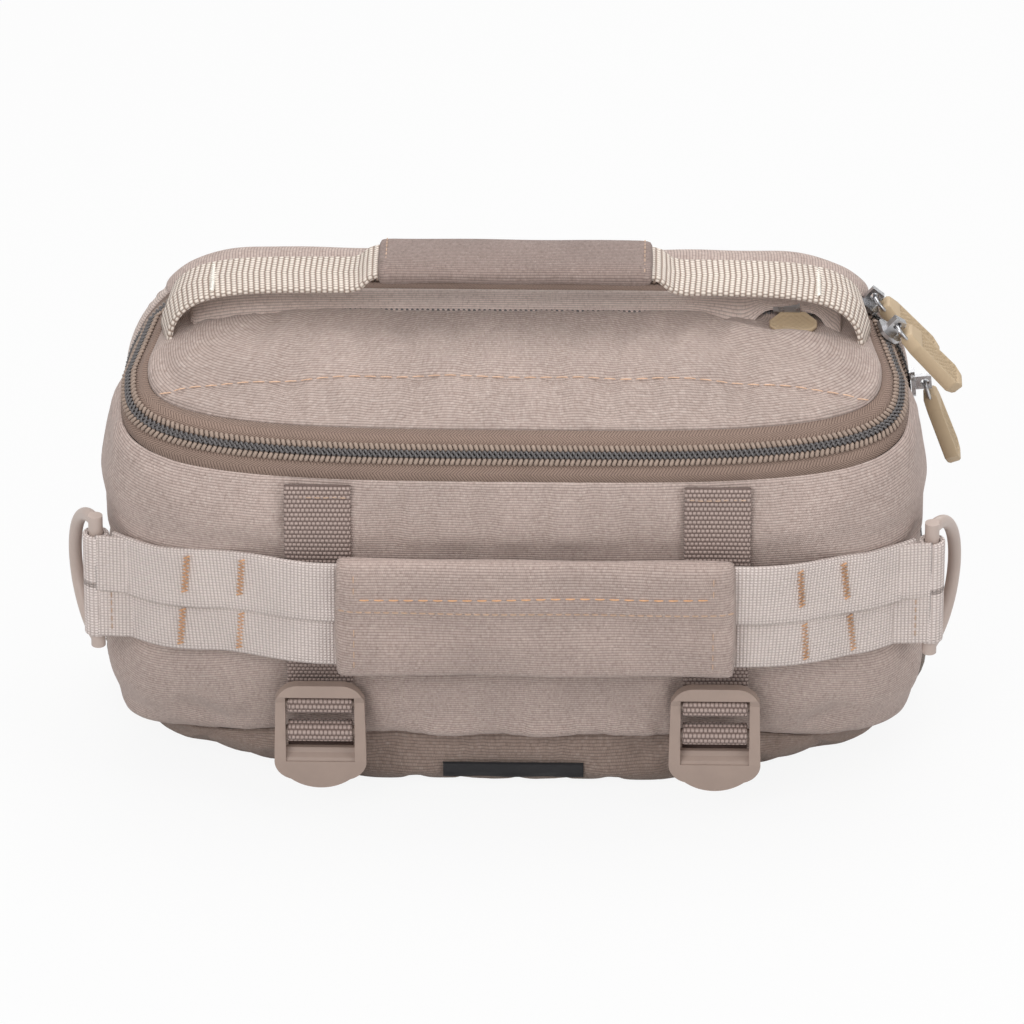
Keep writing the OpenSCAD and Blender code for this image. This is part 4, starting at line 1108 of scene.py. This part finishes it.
def bandPath(off, count=160):
    # line of the band round the front, standing clear of the face behind the grip
    t = band["height"] / pack["zipHeight"]
    s, sideDepth = sideShape(t)
    f = float(frontInset(t)) - 0.3
    a = np.radians(np.linspace(25, 155, count))
    w = pack["halfWidth"] + off + 2.0 * ramp(np.abs(np.degrees(a) - 90), 45, 65) ** 2
    x = -w * np.sign(np.cos(a)) * np.abs(np.cos(a)) ** (2 / s)
    y = sideDepth - (sideDepth - f + off) * np.sin(a) ** (2 / s)
    half = band["gripLength"] / 2 + 3
    u = 1 - smooth(np.abs(x - band["gripShift"]), half, half + band["reach"])
    y = y - 1.3 * smooth(np.abs(x), 68, 84) * (1 - smooth(np.abs(x), 104, 116))
    return resample(np.column_stack([x, mix(y, f - band["stand"] - off, u)]), count)


def bandLift(x):
    return band["rise"] * (1 - smooth(np.abs(x), pack["halfWidth"] * 0.55, pack["halfWidth"] * 0.95))


def bandWebbing(name, zLow, off, seed):
    line = bandPath(off)
    path = np.column_stack([line, zLow + band["width"] / 2 + bandLift(line[:, 0])])
    out = unit(np.cross(np.gradient(path, axis=0), [0, 0, 1]))
    sag = ripple(path, 40, seed) * 0.5 + ripple(path, 17, seed + 1) * 0.25
    path = path + out * sag[:, None]
    return ribbon(name, path, out, band["width"], band["thick"], 0.35, seed), path, out


lowZ = band["height"] - band["width"] + band["lap"] / 2
lowBand, lowPath, lowOut = bandWebbing("bandLower", lowZ, 1.0, 21.0)
highBand, highPath, highOut = bandWebbing("bandUpper", lowZ + band["width"] - band["lap"], 2.6, 23.0)
ride(lowBand, "pack", look["band"], "band_webbing", "band_lower")
ride(highBand, "pack", look["band"], "band_webbing", "band_upper")


def nearestAt(path, x):
    return int(np.argmin(np.abs(path[:, 0] - x)))


def bandTack(name, atX, lean, zFrom, zTo):
    # dense zigzag of thread down the band at one place
    tacks = []
    count = int((zTo - zFrom) / 0.62)
    for n in range(count):
        z = mix(zFrom, zTo, n / (count - 1))
        shift = lean * (z - band["height"]) + (0.9 if n % 2 else -0.9)
        path, out = (highPath, highOut) if z > band["height"] - 2 else (lowPath, lowOut)
        j = nearestAt(path, atX)
        along = unit(path[j + 1] - path[j])
        tacks.append(path[j] * [1, 1, 0] + along * shift + out[j] * (band["thick"] / 2 + 0.25)
                     + [0, 0, z + float(bandLift(path[j][0]))])
    piece = tube(name, np.array(tacks), 0.34, 5, out=highOut[nearestAt(highPath, atX)])
    return ride(piece, "pack", look["orangeThread"], "band_webbing")


tackPlaces = ((-98.5, 0.08), (-81.5, 0.08), (87.5, -0.06), (101.5, -0.12))  # place along X, and lean
tackHeights = {"High": (75.5, 88.0), "Low": (56.0, 68.5)}
for k, (atX, lean) in enumerate(tackPlaces):
    for word, (zFrom, zTo) in tackHeights.items():
        bandTack(f"bandTack{word}{k}", atX, lean, zFrom, zTo)


def loopPiece(name, centre, axis, inner, thick, length, turnFrom=0.0):
    # webbing closed round a bar
    rings = []
    axis = np.asarray(axis, float)
    helper = np.array([0, 1, 0]) if abs(axis[2]) > 0.5 else np.array([0, 0, 1])
    a = unit(np.cross(helper, axis))
    b = np.cross(axis, a)
    for angle in np.linspace(0, 2 * math.pi, 33):
        radial = a * math.cos(angle + turnFrom) + b * math.sin(angle + turnFrom)
        middle = np.asarray(centre) + radial * (inner + thick / 2)
        rings.append([middle + axis * s + radial * t for s, t in webbingSection(length, thick)])
    return loft(name, rings)


for side, word in leftRight:
    halves = []
    middles = {up: band["height"] + up * (band["width"] - band["lap"]) / 2 for up in (1, -1)}
    for up, extra in ((1, 0.0), (-1, 2.0)):
        centre = (side * band["ringX"], band["ringDepth"], middles[up])
        halves.append(loopPiece(f"loopHalf{word}{up}", centre, (0, 0, 1), 2.45, band["thick"],
                                band["width"] - 2.2 + extra))
    for up, path in ((-1, lowPath), (1, highPath)):
        end = path[nearestAt(path, side * band["halfSpan"]), 1] + 1.9
        tail = []
        for u in np.linspace(0, 1, 12):
            x = mix(band["ringX"], band["halfSpan"], u)
            tail.append((side * x, mix(band["ringDepth"] - 3.2, end, u ** 1.2), middles[up]))
        halves.append(ribbon(f"loopTail{word}{up}", tail, (side * 0.3, -1, 0), band["width"] - 1.0,
                             band["thick"], 0.2, 90 + up))
    loop = joinPieces(f"bandLoop{word}", halves)
    ride(loop, "pack", look["band"], "band_webbing", f"band_loop_{word.lower()}")
    seam = [(side * (band["ringX"] - 4.6), band["ringDepth"] - 4.2, z) for z in
            np.linspace(band["height"] - 15, band["height"] + 15, 30)]
    seamRow(f"loopStitch{word}", seam, (side * 0.3, -1, 0), "closedEnd", "pack", "band_webbing")

gripLook = {"denseAbove": 3.6, "longAbove": 8.9, "crease": 1.7}
gripMiddle = band["height"] + band["rise"]  # height of the crease along the grip
gripDepth = float(frontInset(gripMiddle / pack["zipHeight"])) - 0.3 - band["stand"] - band["thick"]


def gripRings():
    rings = []
    half = band["gripLength"] / 2
    for x in np.linspace(-half, half, 61):
        endShare = smooth(half - abs(x), 0, 5)
        ring = []
        for a in np.linspace(0, 2 * math.pi, 84, endpoint=False):
            c, s = math.cos(a), math.sin(a)
            z = band["gripHeight"] / 2 * signedPower(c, 0.45)
            y = band["gripThick"] / 2 * signedPower(s, 0.75) * mix(0.62, 1, endShare)
            crease = gripLook["crease"] * math.exp(-(z / 0.9) ** 2) if s < 0 else 0
            ring.append((x, y + crease, z))
        rings.append(ring)
    rings = np.array(rings)
    rings[..., 1] += ripple(rings * [0.7, 1, 1], 30, 31.0) * 0.7 * np.sign(rings[..., 1])
    return rings + [band["gripShift"], gripDepth - 1.2, gripMiddle]


grip = loft("gripSleeve", gripRings())
subdivide(grip)
ride(grip, "pack", look["sleeve"], "shell_fabric", "grip_sleeve")
gripTree = surfaceTree(grip)


def onFront(tree, x, z, fallback):
    hit = tree.ray_cast(Vector(place([[x, -40, z]])[0]), Vector((0, 1, 0)))
    return hit[0].y * 1000 + restDepth if hit[0] else fallback


def gripLine(points):
    return [(x, onFront(gripTree, x, z, gripDepth - 5), z) for x, z in points]


gripLeft = band["gripShift"] - band["gripLength"] / 2
gripRight = gripLeft + band["gripLength"]
longLine = gripLine([(x, gripMiddle + gripLook["longAbove"] + 0.6 * math.sin(x / 30)) for x in
                     np.linspace(gripLeft + 7, gripRight - 8, 80)])
seamRow("gripLongStitch", longLine, (0, -1, 0), "gripLong", "pack", "shell_fabric")
denseLine = gripLine([(x, gripMiddle + gripLook["denseAbove"]) for x in
                      np.linspace(gripLeft + 1, gripRight - 0.5, 80)])
seamRow("gripDenseStitch", denseLine, (0, -1, 0), "gripDense", "pack", "shell_fabric")
for side, x in (("Left", gripLeft + 6), ("Right", gripRight - 7)):
    for part, first, last in (("Upper", 9.4, 17), ("Lower", -2, -16)):
        line = gripLine([(x, z) for z in np.linspace(gripMiddle + first, gripMiddle + last, 20)])
        seamRow(f"grip{part}Stitch{side}", line, (0, -1, 0), "gripEnd", "pack", "shell_fabric")
print("band and grip ready")

barDepth = float(faceDepth(strapLook["barHeight"] / pack["zipHeight"], 50.0)) - 3.5 - 2.6
frontTree = surfaceTree(front)
bottomTree = surfaceTree(bottom)


def faceAt(x, z):
    # depth of the finished cloth on the front
    tree = frontTree if z > pack["bootHeight"] else bottomTree
    plain = float(faceDepth(z / pack["zipHeight"], x))
    return min(onFront(tree, x, z, plain), plain + 1.5)


for side, word in leftRight:
    x = side * strapLook["x"] + strapLook["shift"]
    path = []
    foot = barDepth + 3.4
    for z in np.linspace(pack["zipHeight"] - 0.5, strapLook["barHeight"], 40):
        u = max(0.0, (strapLook["peelFrom"] - z) / (strapLook["peelFrom"] - strapLook["barHeight"])) ** 1.5
        near = min(faceAt(x - 8, z), faceAt(x, z), faceAt(x + 8, z)) - 0.4
        path.append((x, mix(near, foot, u) - strapLook["thick"] / 2, z))
    path = np.array(path)
    path[:, 1] = np.convolve(np.pad(path[:, 1], 3, mode="edge"), np.ones(7) / 7, "valid")
    main = ribbon(f"strapRun{word}", path, (0, -1, 0), strapLook["width"], strapLook["thick"], 0.2,
                  40 + side)
    bar = (x, barDepth, strapLook["barHeight"])
    wrap = loopPiece(f"strapLoop{word}", bar, (1, 0, 0), strapLook["loopInner"], strapLook["thick"],
                     strapLook["width"] - 0.4, 1.2)
    strap = joinPieces(f"strap{word}", [main, wrap])
    ride(strap, "pack", look["strap"], "strap_webbing", f"strap_{word.lower()}")
    lowBar = (x, barDepth, strapLook["barHeight"] - strapLook["barPitch"])
    low = loopPiece(f"adjusterLoop{word}", lowBar, (1, 0, 0), strapLook["loopInner"], strapLook["thick"],
                    strapLook["width"] - 0.4, 0.4)
    ride(low, f"buckle_{word.lower()}", look["strap"], "strap_webbing", f"adjuster_loop_{word.lower()}")
    path = []
    lift = float(faceDepth(22.8 / pack["zipHeight"], 50.0)) - 0.3 - barDepth - 3.5
    for z in np.linspace(22.6, 5.2, 16):
        u = ((z - 5) / 17.8) ** 2
        path.append((x, float(faceDepth(z / pack["zipHeight"], abs(x) + 6)) - 0.5 - lift * u - 1.0, z))
    lowStrap = ribbon(f"adjusterStrap{word}", path, (0, -1, -0.4), strapLook["width"], strapLook["thick"],
                      0.15, 50)
    ride(lowStrap, "pack", look["strap"], "strap_webbing", f"adjuster_strap_{word.lower()}")
    # folded and sewn top end, under the zip
    z = pack["zipHeight"] - 4
    tack = [(x + dx, faceAt(x + dx, z) - 2.2, z) for dx in np.linspace(-9, 9, 20)]
    seamRow(f"strapStitch{word}", tack, (0, -1, 0), "webbing", "pack", "strap_webbing")


labelLook = {"halfWidth": 21.5, "low": 5.2, "high": 11.0, "stand": 1.0, "curl": 0.25, "thick": 0.5}


def labelSpot(x, z):
    # the lower edge curls a little
    curl = labelLook["curl"] * math.cos(x / 3.1) * (z < 6.5)
    return x, float(faceDepth(z / pack["zipHeight"], x)) - labelLook["stand"] - curl, z


labelWidth = np.linspace(-labelLook["halfWidth"], labelLook["halfWidth"], 40)
labelRows = [[labelSpot(x, z) for x in labelWidth] for z in
             np.linspace(labelLook["low"], labelLook["high"], 9)]
label = loft("label", labelRows, wrap=False)
thicken(label, labelLook["thick"], 0)
ride(label, "pack", look["label"], "label_weave", "label")
print("straps and label ready")

backLook = {"halfWidth": 119.5, "height": 146.0, "low": 3.0, "topRadius": 40.0, "lowRadius": 20.0,
            "flare": 0.09, "flareHeight": 106.0, "start": 69.0, "dividerFront": 66.0, "floorWidth": 213.6,
            "pipingDepth": 93.2, "pipingRadius": 2.05, "strands": 3, "strandDepth": 0.22, "strandPitch": 4.6,
            "panelLow": 8.0, "panelMiddle": (0, 97.0, 74.0), "channelPitch": 34.0, "channelDepth": 1.8}


def backOutline(off, count, low):
    lowRadius, topRadius = backLook["lowRadius"], backLook["topRadius"]
    lx = backLook["halfWidth"] - lowRadius
    tx = backLook["halfWidth"] - topRadius
    lz = low + lowRadius
    tz = backLook["height"] - topRadius
    points = []
    for cx, cz, r, first in ((-lx, lz, lowRadius, 270), (-tx, tz, topRadius, 180), (tx, tz, topRadius, 90),
                             (lx, lz, lowRadius, 0)):
        for a in np.radians(np.linspace(first, first - 90, 30)):
            points.append((cx + (r + off) * math.cos(a), cz + (r + off) * math.sin(a)))
    points = resample(points, count)
    flare = backLook["flare"] * np.maximum(0, backLook["flareHeight"] - points[:, 1])
    points[:, 0] += np.sign(points[:, 0]) * flare
    return points


def backRing(depth, off, count=220, low=backLook["low"]):
    p = backOutline(off, count, low)
    return np.column_stack([p[:, 0], np.full(count, float(depth)), p[:, 1]])


def backStrip(name, section):
    return loft(name, np.array([backRing(d, off) for d, off in section]).transpose(1, 0, 2))


outs = unit(backRing(80, 1) - backRing(80, 0))
for part, body, low, middle, high in (("rear", "pack", backLook["start"], backLook["start"] + 3, 76.8),
                                      ("back", "back", 78.4, 82, 86.4)):
    tape = backStrip(f"{part}ZipTape", [(low, 0), (middle, 0.15), (high, 0), (high, -1), (low, -1)])
    ride(tape, body, look["tape"], "zip_tape", f"{part}_zip_tape")
coilOuts = outs[np.linspace(0, 219, 400).astype(int)]
stitchOuts = outs[np.linspace(0, 219, 500).astype(int)]
for part, body, side, coilDepth, stitchDepth in (("rear", "pack", 1, 76.85, 75.5),
                                                 ("back", "back", -1, 78.35, 79.7)):
    coilRow(f"{part}ZipCoil", resample(backRing(coilDepth, 0.1), 400), coilOuts, coilSizes["rear"], body,
            f"{part}_zip_coil")
    chainStitches(f"{part}ChainStitches", resample(backRing(stitchDepth, 0.35), 500), stitchOuts, side, body)

gusset = backStrip("backGusset", [(86.0, 0.2), (87.0, 0.9), (88.6, 1.1), (90.2, 0.8), (91.0, 0.0),
                                  (91.0, -2.2), (86.0, -2.2)])
subdivide(gusset)
ride(gusset, "back", look["gusset"], "shell_fabric", "back_gusset")


def dividerPiece():
    low, high = backLook["dividerFront"], backLook["start"]
    inner, outer = backRing(low, -3.0, 160), backRing(high, -3.0, 160)
    face = [mix(inner, np.array([0, low, 72.0]), k / 8) for k in range(8, 0, -1)]
    rear = [mix(outer, np.array([0, high + 0.2, 72.0]), k / 8) for k in range(1, 9)]
    edge = [backRing(low + 0.3, -0.4, 160), backRing(low + 1.5, 0.2, 160), backRing(high - 0.3, -0.4, 160)]
    return loft("divider", face + [inner] + edge + [outer] + rear)


divider = dividerPiece()
flatCloth(divider)
ride(divider, "pack", look["lining"], "lining_fabric", "divider")

floorWidth = np.linspace(-backLook["floorWidth"] / 2, backLook["floorWidth"] / 2, 66)
floorRows = [[(x, depth, 5.7 + 0.25 * math.sin(x / 9)) for x in floorWidth]
             for depth in np.linspace(backLook["start"] + 0.2, 90.2, 8)]
rearFloor = loft("rearFloor", floorRows, wrap=False)
thicken(rearFloor, 2.2)
# the rear floor takes the boot cloth with its painted shade
ride(rearFloor, "pack", look["boot"], "boot_fabric", "rear_floor")


def pipingPiece():
    # twisted cord round the back's edge
    path = backRing(backLook["pipingDepth"], -2.2, 700)
    along, side, up = framesAlong(path, np.repeat(outs, 4, axis=0)[np.linspace(0, 879, 700).astype(int)])
    at = pathLengths(path)
    rings = []
    for k in range(len(path)):
        ring = []
        for a in np.linspace(0, 2 * math.pi, 14, endpoint=False):
            turn = backLook["strands"] * a - at[k] / backLook["strandPitch"] * 2 * math.pi
            r = backLook["pipingRadius"] + backLook["strandDepth"] * math.cos(turn)
            ring.append(path[k] + r * (side[k] * math.cos(a) + up[k] * math.sin(a)))
        rings.append(ring)
    return loft("backPiping", rings)


piping = pipingPiece()
ride(piping, "back", look["shell"], "shell_fabric", "back_piping")


def backPanelPiece():
    rings = []
    for depth, extra in ((91.2, 5.0), (91.2, 4.6), (93.5, 4.5), (95.4, 5.6), (96.6, 8.6), (96.9, 12.0)):
        rings.append(backRing(depth, -extra, 160, backLook["panelLow"]))
    last = rings[-1]
    for k in range(1, 22):
        rings.append(mix(last, np.array(backLook["panelMiddle"]), k / 21.0))
    rings = np.array(rings)
    flat = rings[5:]
    pitch = backLook["channelPitch"]
    lines = np.minimum(np.abs((flat[..., 0] + pitch / 2) % pitch - pitch / 2), 9)
    channels = backLook["channelDepth"] * np.exp(-(lines / 2.4) ** 2)
    flat[..., 1] -= np.where(np.abs(flat[..., 2] - 70) < 44, channels, 0)
    flat[..., 1] += ripple(flat, 45, 61.0) * 0.3
    return loft("backPanel", rings)


backPanel = backPanelPiece()
flatCloth(backPanel)
ride(backPanel, "back", look["mesh"], "mesh_fabric", "back_panel")


def rainFlapPiece():
    section = [(89.4, 0.2), (90.9, 0.4), (91.0, 3.2), (88.5, 4.6), (84, 4.9), (79, 4.6), (75.6, 3.9),
               (75.0, 3.1), (76.0, 2.4), (84, 2.3)]
    rings = np.array([backRing(d, off, 300) for d, off in section]).transpose(1, 0, 2)
    keep = [k for k in range(300) if rings[k, 2, 2] > 138.6]  # only over the top run
    rings = rings[keep]
    middle = rings.mean(axis=1, keepdims=True)
    share = np.minimum(np.arange(len(keep)), np.arange(len(keep))[::-1])[:, None, None] / 5.0
    rings = middle + (rings - middle) * (0.35 + 0.65 * np.minimum(1, share) ** 0.5)
    rings[..., 2] += ripple(rings * [1, 0.3, 1], 24, 71.0) * 0.35
    return loft("rainFlap", rings)


rain = rainFlapPiece()
subdivide(rain)
ride(rain, "back", look["shell"], "shell_fabric", "rain_flap")

tabLook = {"x": 70.0, "barDepth": 100.8, "barHeight": 128.0, "foot": 110.4, "width": 20.0, "boxHalf": 7.5,
           "boxLow": 112.5, "boxHigh": 122.0}
for side, word in leftRight:
    x, depth, high = side * tabLook["x"], tabLook["barDepth"], tabLook["barHeight"]
    wrap = loopPiece(f"tabLoop{word}", (x, depth, high), (1, 0, 0), 2.0, 1.6, tabLook["width"])
    path = [(x, depth - 2.8, z) for z in np.linspace(high, tabLook["foot"], 14)]
    tail = ribbon(f"tabTail{word}", path, (0, 1, 0), tabLook["width"], 1.5, 0.1, 80)
    tab = joinPieces(f"backTab{word}", [wrap, tail])
    ride(tab, "back", look["band"], "band_webbing", f"back_tab_{word.lower()}")
    half, low, high = tabLook["boxHalf"], tabLook["boxLow"], tabLook["boxHigh"]
    across = np.linspace(-half, half, 12)
    upward = np.linspace(low, high, 8)
    box = [(a, high) for a in across] + [(half, z) for z in upward[::-1]] \
        + [(a, low) for a in across[::-1]] + [(-half, z) for z in upward]
    box = [(x + a, depth - 1.9, z) for a, z in box]
    seamRow(f"tabStitch{word}", box, (0, 1, 0), "webbing", "back", "band_webbing")
print("back ready")

pullLook = {"lidEye": (115.5, 60.897, 140.65), "rearTopEye": (109.133, 77.6, 141.315),
            "rearSideEye": (125.125, 77.6, 111.547), "upperLean": 42.0, "sideLean": 20.0,
            "from": 3.9, "to": 28.6, "thick": 4.3, "rim": 1.3, "recess": 0.8, "gripPitch": 2.1,
            "pocketLift": 1.1, "pocketX": 84.0, "pocketSpan": (47.2, 55.3), "pocketThick": 1.25,
            "pocketRecess": 0.45, "pocketPitch": 1.9}


def rubberPull(name, eye, lean, body):
    # hangs from its eye; the broad faces are recessed between rims and carry small pyramids
    lean = math.radians(lean)
    down = np.array([math.sin(lean), 0, -math.cos(lean)])
    side = np.array([0, 1.0, 0])
    face = np.array([math.cos(lean), 0, math.sin(lean)])
    first, last = pullLook["from"], pullLook["to"]
    edge = pullLook["thick"] / 2
    rings = []
    for s in np.linspace(first, last, 74):
        half = float(np.interp(s, [first, 8.4, last - 3.6, last], [3.1, 5.0, 5.9, 2.7]))
        endSoft = float(smooth(s - first, -0.4, 0.9) * smooth(last - s, -0.5, 0.9))
        ring = []
        for sign in (1, -1):
            for u in np.linspace(-1, 1, 21):
                across = sign * u * (half - 0.5)
                inner = float(smooth(half - abs(across), pullLook["rim"] - 0.3, pullLook["rim"] + 0.2)
                              * smooth(s, 9.4, 10.0) * smooth(last - 2.2 - s, 0, 0.6))
                a = math.pi * (s + across) / pullLook["gripPitch"]
                b = math.pi * (s - across) / pullLook["gripPitch"]
                pyramid = abs(math.sin(a)) * abs(math.sin(b))
                height = edge - inner * pullLook["recess"] * (1 - pyramid)
                ring.append((across, sign * height * mix(0.62, 1, endSoft)))
            for turn, flip in ((30, 1), (60, 1), (120, -1), (150, -1)):
                turn = math.radians(turn)
                across = half - 0.5 + 0.5 * math.sin(turn)
                height = edge - 0.5 + 0.5 * abs(math.cos(turn))
                ring.append((sign * across, flip * sign * height * mix(0.62, 1, endSoft)))
        rings.append([np.array(eye) + down * s + side * a + face * b for a, b in ring])
    return ride(loft(name, rings), body, look["rubber"], "pull_rubber", body)


rubberPull("lidPull", pullLook["lidEye"], pullLook["upperLean"], "lid_pull")
rubberPull("rearTopPull", pullLook["rearTopEye"], pullLook["upperLean"], "rear_pull_top")
rubberPull("rearSidePull", pullLook["rearSideEye"], pullLook["sideLean"], "rear_pull_side")


def pocketPull():
    # flat hexagonal pull that looks out between the fold and the flap
    x = pullLook["pocketX"]
    low, high = pullLook["pocketSpan"]
    rings = []
    for d in np.linspace(low, high, 26):
        half = float(np.interp(d, [low, low + 2.2, high - 3.6, high], [5.2, 7.2, 7.2, 3.9]))
        base = float(lidTop(x, d)) + pullLook["pocketLift"]
        top = []
        for u in np.linspace(-1, 1, 31):
            inner = float(smooth(half * (1 - abs(u)), 0.8, 1.2) * smooth(d - low, 0.8, 1.2)
                          * smooth(high - d, 0.8, 1.2))
            a = math.pi * (d + u * half) / pullLook["pocketPitch"]
            b = math.pi * (d - u * half) / pullLook["pocketPitch"]
            pyramid = abs(math.sin(a)) * abs(math.sin(b))
            lift = pullLook["pocketThick"] - pullLook["pocketRecess"] * inner * (1 - pyramid)
            top.append((x + u * half, d, base + lift - 0.3 * (abs(u) > 0.99)))
        rings.append(top + [(x + half * 0.98, d, base), (x - half * 0.98, d, base)])
    pull = loft("pocketPull", rings)
    return ride(pull, "pocket_runner", look["rubber"], "pull_rubber", "pocket_pull")


pocketPull()
print("pulls ready")

# Hard pieces that keep the solid itself
finish = {
    "plastic": ("buckle_left", "buckle_right"),
    # rings take the lighter copy of the buckle plastic, with painted light
    "ringPlasticPaintedLight": ("ring_left", "ring_right", "back_ring_left", "back_ring_right"),
    "metal": ("lid_slider", "lid_ring", "rear_slider_top", "rear_ring_top", "rear_slider_side",
              "rear_ring_side", "pocket_slider"),
}
edgeRounding = {"buckle_left": 0.7, "buckle_right": 0.7, "lid_slider": 0.25, "rear_slider_top": 0.25,
                "rear_slider_side": 0.25, "pocket_slider": 0.2}
for key, names in finish.items():
    for name in names:
        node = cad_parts[name]
        node.data.materials.clear()
        node.data.materials.append(look[key])
        if name in edgeRounding:
            rounding = node.modifiers.new("edges", "BEVEL")
            rounding.width = edgeRounding[name] / 1000
            rounding.segments = 3
            rounding.limit_method = "ANGLE"
            rounding.angle_limit = math.radians(40)
            rounding.harden_normals = True
print("hard pieces ready")

stageLook = {"distance": 2.8, "azimuth": 1.0, "elevation": 30.0, "frameWidth": 0.3125,
             "target": (-0.0009, 0.0, 0.0827), "floor": (218, 218, 218), "floorSize": 3.0, "floorGlow": 0.9,
             "ambient": 0.4}


def floorPiece():
    # a floor that shines to the camera, so that it stays plain and pale
    mesh = bpy.data.meshes.new("floor")
    size = stageLook["floorSize"]
    corners = [(-size, -size, 0), (size, -size, 0), (size, size, 0), (-size, size, 0)]
    mesh.from_pydata(corners, [], [(0, 1, 2, 3)])
    floor = bpy.data.objects.new("floor", mesh)
    scene.collection.objects.link(floor)
    made = bpy.data.materials.new("floorPaint")
    made.use_nodes = True
    tree = made.node_tree
    shader = tree.nodes["Principled BSDF"]
    shader.inputs["Base Color"].default_value = linear(stageLook["floor"])
    shader.inputs["Roughness"].default_value = 0.9
    shader.inputs["Specular IOR Level"].default_value = 0.1
    glow = tree.nodes.new("ShaderNodeEmission")
    glow.inputs["Strength"].default_value = 1.0
    paths = tree.nodes.new("ShaderNodeLightPath")
    seen = maths(tree, "MAXIMUM", paths.outputs["Is Camera Ray"], paths.outputs["Is Glossy Ray"])
    blend = tree.nodes.new("ShaderNodeMixShader")
    share = times(tree, seen, stageLook["floorGlow"])
    for value, socket in zip((share, shader.outputs[0], glow.outputs[0]), blend.inputs):
        feed(tree, value, socket)
    tree.links.new(blend.outputs[0], tree.nodes["Material Output"].inputs[0])
    mesh.materials.append(made)


floorPiece()


def aimed(data, spot, target):
    # puts a lamp or a camera in the scene, looking at its target
    holder = bpy.data.objects.new(data.name, data)
    holder.location = spot
    holder.rotation_euler = (Vector(target) - Vector(spot)).to_track_quat("-Z", "Y").to_euler()
    scene.collection.objects.link(holder)
    return holder


def areaLight(name, spot, target, size, power):
    lamp = bpy.data.lights.new(name, "AREA")
    lamp.energy = power
    lamp.shape = "RECTANGLE"
    lamp.size, lamp.size_y = size
    aimed(lamp, spot, target)


areaLight("topLight", (0.05, 0.1, 1.0), (0, 0.02, 0.08), (1.1, 0.8), 6.2)
areaLight("frontLeftLight", (-0.55, -0.95, 0.85), (0, 0, 0.09), (0.8, 0.6), 6.8)
areaLight("rightLight", (0.85, -0.6, 0.55), (0, 0, 0.09), (0.5, 0.6), 2.6)
areaLight("rearLight", (0.35, 1.3, 0.6), (0, 0.05, 0.08), (1.0, 0.7), 4.5)
world = bpy.data.worlds.new("studio")
world.use_nodes = True
world.node_tree.nodes["Background"].inputs[0].default_value = (1, 1, 1, 1)
world.node_tree.nodes["Background"].inputs[1].default_value = stageLook["ambient"]
scene.world = world

camera = bpy.data.cameras.new("camera")
camera.sensor_width = 36
camera.lens = camera.sensor_width * stageLook["distance"] / stageLook["frameWidth"]
turn = math.radians(stageLook["azimuth"])
rise = math.radians(stageLook["elevation"])
back = Vector((math.sin(turn) * math.cos(rise), -math.cos(turn) * math.cos(rise), math.sin(rise)))
target = Vector(stageLook["target"])
scene.camera = aimed(camera, target + back * stageLook["distance"], target)
